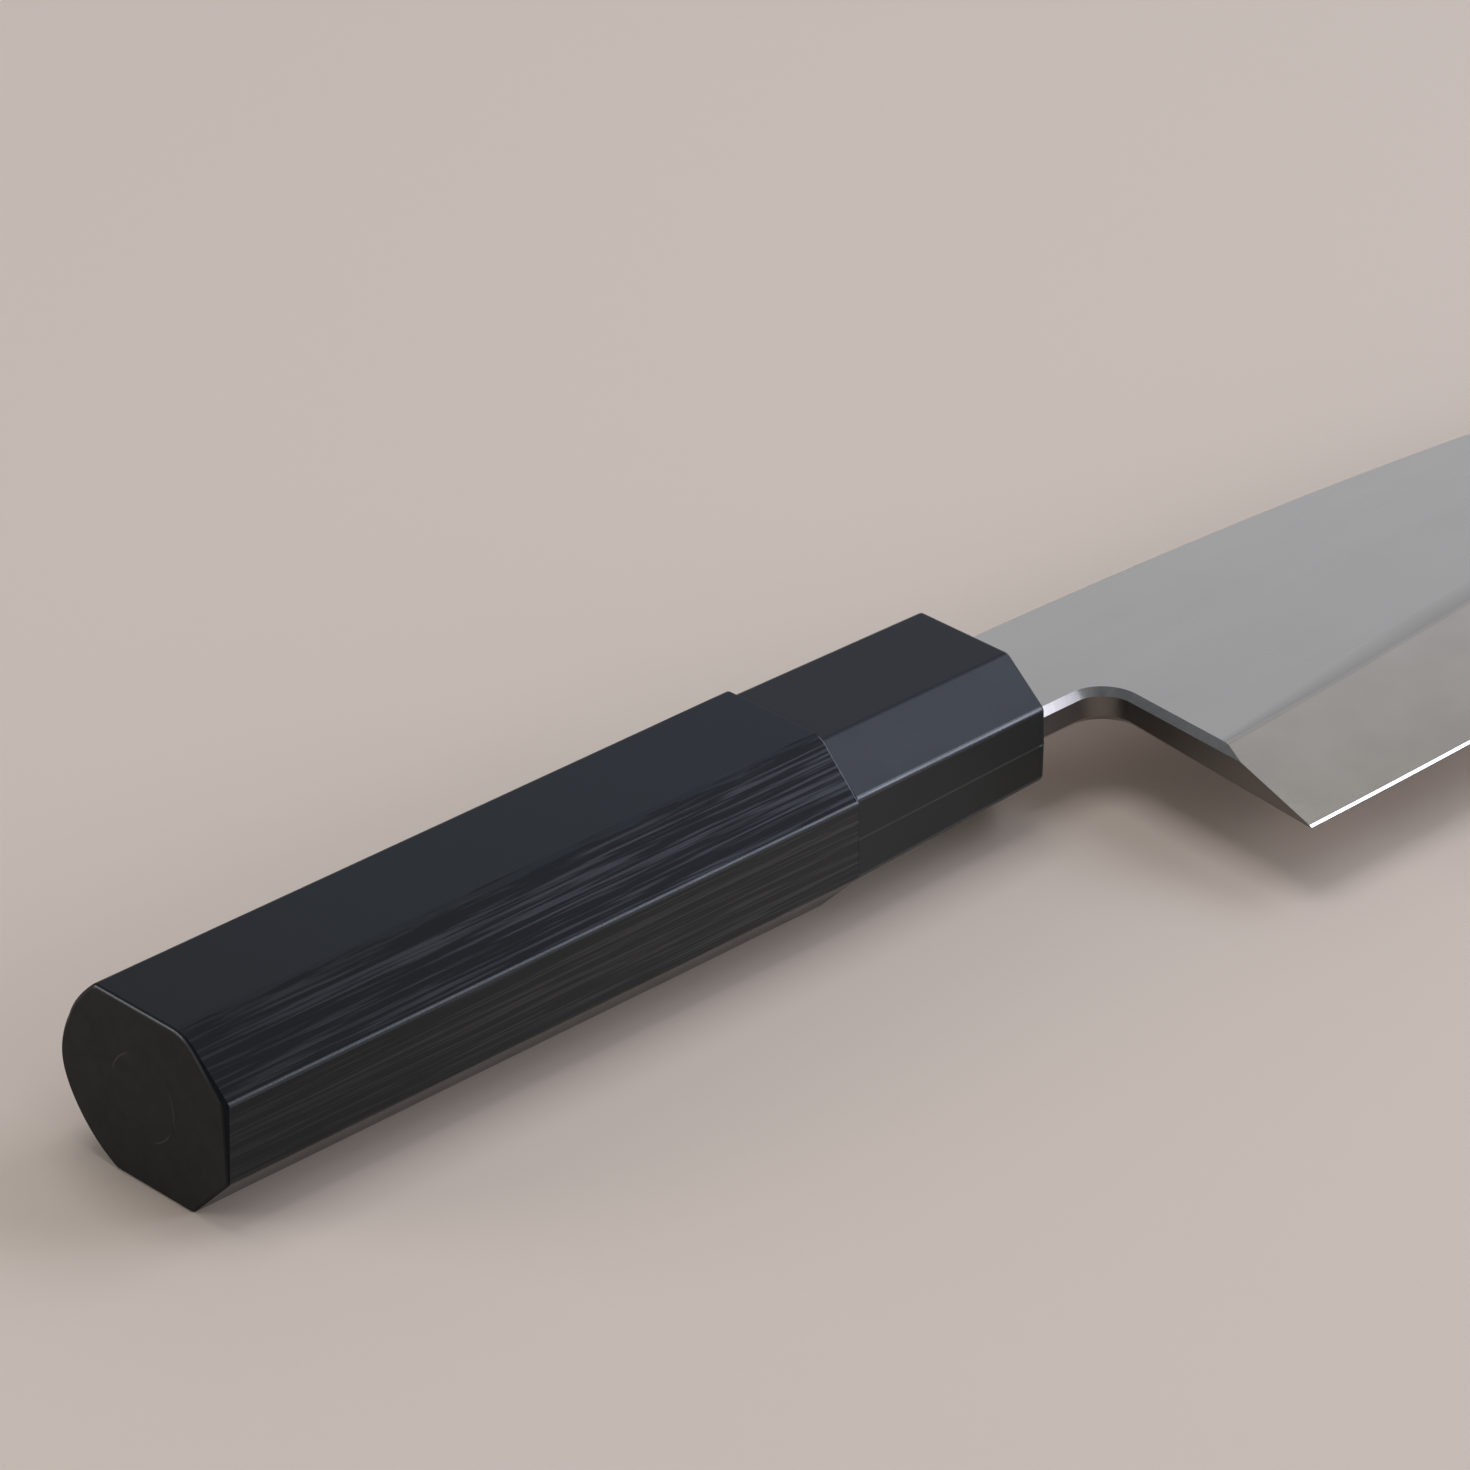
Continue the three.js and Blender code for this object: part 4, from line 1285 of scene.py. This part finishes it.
class DEBA_OT_grip(Operator):
    """Make the wooden grip, with its bore and the tenon that the ferrule hides"""

    bl_idname = "deba.grip"
    bl_label = "Grip"

    def execute(self, context):
        sizes = context.scene.deba_grip
        margin = context.scene.deba_blade.margin
        bm = bmesh.new()
        grip_body(bm, sizes)
        tenon = bmesh.new()
        half = Vector((0, sizes.tenon_width / 2, sizes.tenon_height / 2))
        rounded_block(
            tenon,
            Vector((SEAM_X - margin, 0, 0)) - half,
            Vector((TENON_X, 0, 0)) + half,
            sizes.tenon_corner,
        )
        combine(bm, tenon, "UNION")
        bore = bmesh.new()
        rod(bore, BORE_RADIUS + sizes.bore_gap, PLUG_X, TENON_X + margin)
        combine(bm, bore, "DIFFERENCE")
        plug_hole = bmesh.new()
        rod(plug_hole, sizes.plug_radius, BUTT_X - margin, PLUG_X + margin)
        combine(bm, plug_hole, "DIFFERENCE")
        for face in bm.faces:
            if face.normal.x < -BUTT_FACING and face.calc_center_median().x < BUTT_X + margin:
                face.material_index = END_GRAIN
        upper_tones = (sizes.wood, sizes.cut_wood, sizes.pore_and_glint)
        lit_side_tones = (sizes.wood, sizes.lit_side_wood, sizes.lit_side_pore_and_glint)
        rubbed = {"rub_lines": WOOD_RUB, "gloss": 0.5, "smooth": 0.24, "dull": 0.36}
        materials = [
            wood_finish("laminated_wood", *upper_tones, sheen=0.40),
            end_grain_finish("sanded_end_grain", sizes.end_wood),
            rubbed_finish("worn_wood_edge", sizes.wood, **rubbed),
            painted_shade_rim_finish("butt_rim_painted_shade", sizes.wood),
            # the side and the underside use the painted lit copy of the wood
            wood_finish("laminated_wood_painted_lit_side", *lit_side_tones, sheen=0.25),
            rubbed_finish("seam_edge_painted_highlight", sizes.seam_edge_highlight, **rubbed),
            wood_finish("laminated_wood_underside_painted_lit", *lit_side_tones, sheen=0.05, gloss=0.5, dull=0.25),
            worn_rim_finish("worn_butt_rim_painted_shade", sizes),
        ]
        finish_piece(bm, "grip_wood_body", "grip", materials)
        return {"FINISHED"}


class DEBA_OT_butt_plug(Operator):
    """Make the plug that closes the bore at the butt"""

    bl_idname = "deba.butt_plug"
    bl_label = "Butt plug"

    def execute(self, context):
        sizes = context.scene.deba_grip
        bm = bmesh.new()
        rod(bm, sizes.plug_radius - sizes.hairline, BUTT_X, PLUG_X)
        end = [f for f in bm.faces if all(abs(v.co.x - BUTT_X) < WELD for v in f.verts)]
        glue = bmesh.ops.inset_region(bm, faces=end, thickness=sizes.glue_width, use_even_offset=True)
        for face in glue["faces"]:
            face.material_index = GLUE_LINE
        materials = [
            end_grain_finish("plug_end_grain", sizes.end_wood),
            glue_line_finish("plug_glue_line", sizes.end_wood, sizes.glue, sizes.plug_radius),
        ]
        finish_piece(bm, "butt_plug_wood", "butt_plug", materials)
        return {"FINISHED"}


class DEBA_OT_tang_adhesive(Operator):
    """Finish the cured adhesive that holds the tang, out of sight in the bore"""

    bl_idname = "deba.tang_adhesive"
    bl_label = "Tang adhesive"

    def execute(self, context):
        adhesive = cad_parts["tang_adhesive"]
        finish = adhesive_finish("cured_adhesive", context.scene.deba_grip.adhesive)
        adhesive.data.materials.clear()
        adhesive.data.materials.append(finish)
        return {"FINISHED"}


# Stage

# Soft lamps that look at the knife: name, place, width, height, power in watts and colour
LAMPS = (
    ("overhead_softbox", (0.0, 0.25, 1.45), 0.8, 0.8, 6.8, (0.95, 0.97, 1.0)),
    ("front_softbox", (-0.30, -1.25, 0.50), 0.9, 0.5, 2.4, (1.0, 0.94, 0.86)),
    ("window_softbox", (0.86, -0.30, 0.93), 0.92, 0.55, 5.4, (0.76, 0.83, 1.0)),
    ("low_window_softbox", (0.884, -0.854, 0.423), 0.65, 0.46, 5.8, (0.76, 0.83, 1.0)),
    ("low_softbox", (-1.05, 0.85, 0.35), 0.8, 0.6, 7.5, (1.0, 1.0, 1.0)),
)

# How squarely a ray faces the room's dim side where its light starts to fall, and where it is least
SHADE_STARTS = 0.4
SHADE_FULL = 0.78

SENSOR_WIDTH = 36  # millimetres
NEAREST, FURTHEST = 0.01, 50  # what the camera shows, in metres


def lamp(name, place, width, height, power, tone):
    """A soft square lamp"""
    light = bpy.data.lights.new(name, "AREA")
    light.shape = "RECTANGLE"
    light.size = width
    light.size_y = height
    light.energy = power
    light.color = tone
    made = bpy.data.objects.new(name, light)
    made.location = place
    made.rotation_euler = (-Vector(place)).to_track_quat("-Z", "Y").to_euler()
    made.visible_camera = False
    bpy.context.scene.collection.objects.link(made)


class DEBA_OT_stage(Operator):
    """Set the floor, the soft lamps and the camera"""

    bl_idname = "deba.stage"
    bl_label = "Stage"

    def execute(self, context):
        scene = context.scene
        stage = scene.deba_stage
        bm = bmesh.new()
        bmesh.ops.create_grid(bm, x_segments=1, y_segments=1, size=stage.floor_size / 2)
        mesh = bpy.data.meshes.new("floor")
        bm.to_mesh(mesh)
        bm.free()
        mesh.materials.append(floor_finish("pale_floor", stage.floor))
        floor = bpy.data.objects.new("floor", mesh)
        scene.collection.objects.link(floor)

        world = bpy.data.worlds.new("soft_light")
        world.use_nodes = True
        tree = world.node_tree
        background = tree.nodes["Background"]
        background.inputs["Color"].default_value = (*stage.sky, 1)
        direction = tree.nodes.new("ShaderNodeTexCoord").outputs["Generated"]
        toward = reach_toward(tree, direction, stage.shade.normalized())
        strengths = (stage.sky_strength, stage.shade_strength)
        feed(tree, background, Strength=spread(tree, toward, SHADE_STARTS, SHADE_FULL, *strengths))
        scene.world = world

        for row in LAMPS:
            lamp(*row)

        camera = bpy.data.cameras.new("camera")
        camera.sensor_width = SENSOR_WIDTH
        camera.lens = stage.lens
        camera.clip_start = NEAREST
        camera.clip_end = FURTHEST
        camera_object = bpy.data.objects.new("camera", camera)
        heading = Matrix.Rotation(-stage.turn, 4, "Z")
        tilt = Matrix.Rotation(math.pi / 2 - stage.dip, 4, "X")
        roll = Matrix.Rotation(-stage.roll, 4, "Z")
        camera_object.matrix_world = Matrix.Translation(stage.eye) @ heading @ tilt @ roll
        scene.collection.objects.link(camera_object)
        scene.camera = camera_object
        scene.view_settings.view_transform = "Standard"
        return {"FINISHED"}


OPERATORS = (
    DEBA_OT_stage,
    DEBA_OT_blade,
    DEBA_OT_ferrule,
    DEBA_OT_grip,
    DEBA_OT_butt_plug,
    DEBA_OT_tang_adhesive,
)


class DEBA_PT_panel(Panel):
    """Lists the pieces of the knife"""

    bl_idname = "DEBA_PT_panel"
    bl_label = "Deba Knife"
    bl_space_type = "VIEW_3D"
    bl_region_type = "UI"
    bl_category = "Deba Knife"

    def draw(self, context):
        for operator in OPERATORS:
            self.layout.operator(operator.bl_idname)


SETTINGS = {
    "deba_blade": BladeSizes,
    "deba_ferrule": FerruleSizes,
    "deba_grip": GripSizes,
    "deba_stage": StageSettings,
}
CLASSES = (*SETTINGS.values(), *OPERATORS, DEBA_PT_panel)


def register():
    for item in CLASSES:
        bpy.utils.register_class(item)
    for name, group in SETTINGS.items():
        setattr(bpy.types.Scene, name, PointerProperty(type=group))


def unregister():
    for name in SETTINGS:
        delattr(bpy.types.Scene, name)
    for item in reversed(CLASSES):
        bpy.utils.unregister_class(item)


def main():
    register()
    bpy.ops.deba.stage()
    bpy.ops.deba.blade()
    bpy.ops.deba.ferrule()
    bpy.ops.deba.grip()
    bpy.ops.deba.butt_plug()
    bpy.ops.deba.tang_adhesive()


if __name__ == "__main__":
    main()
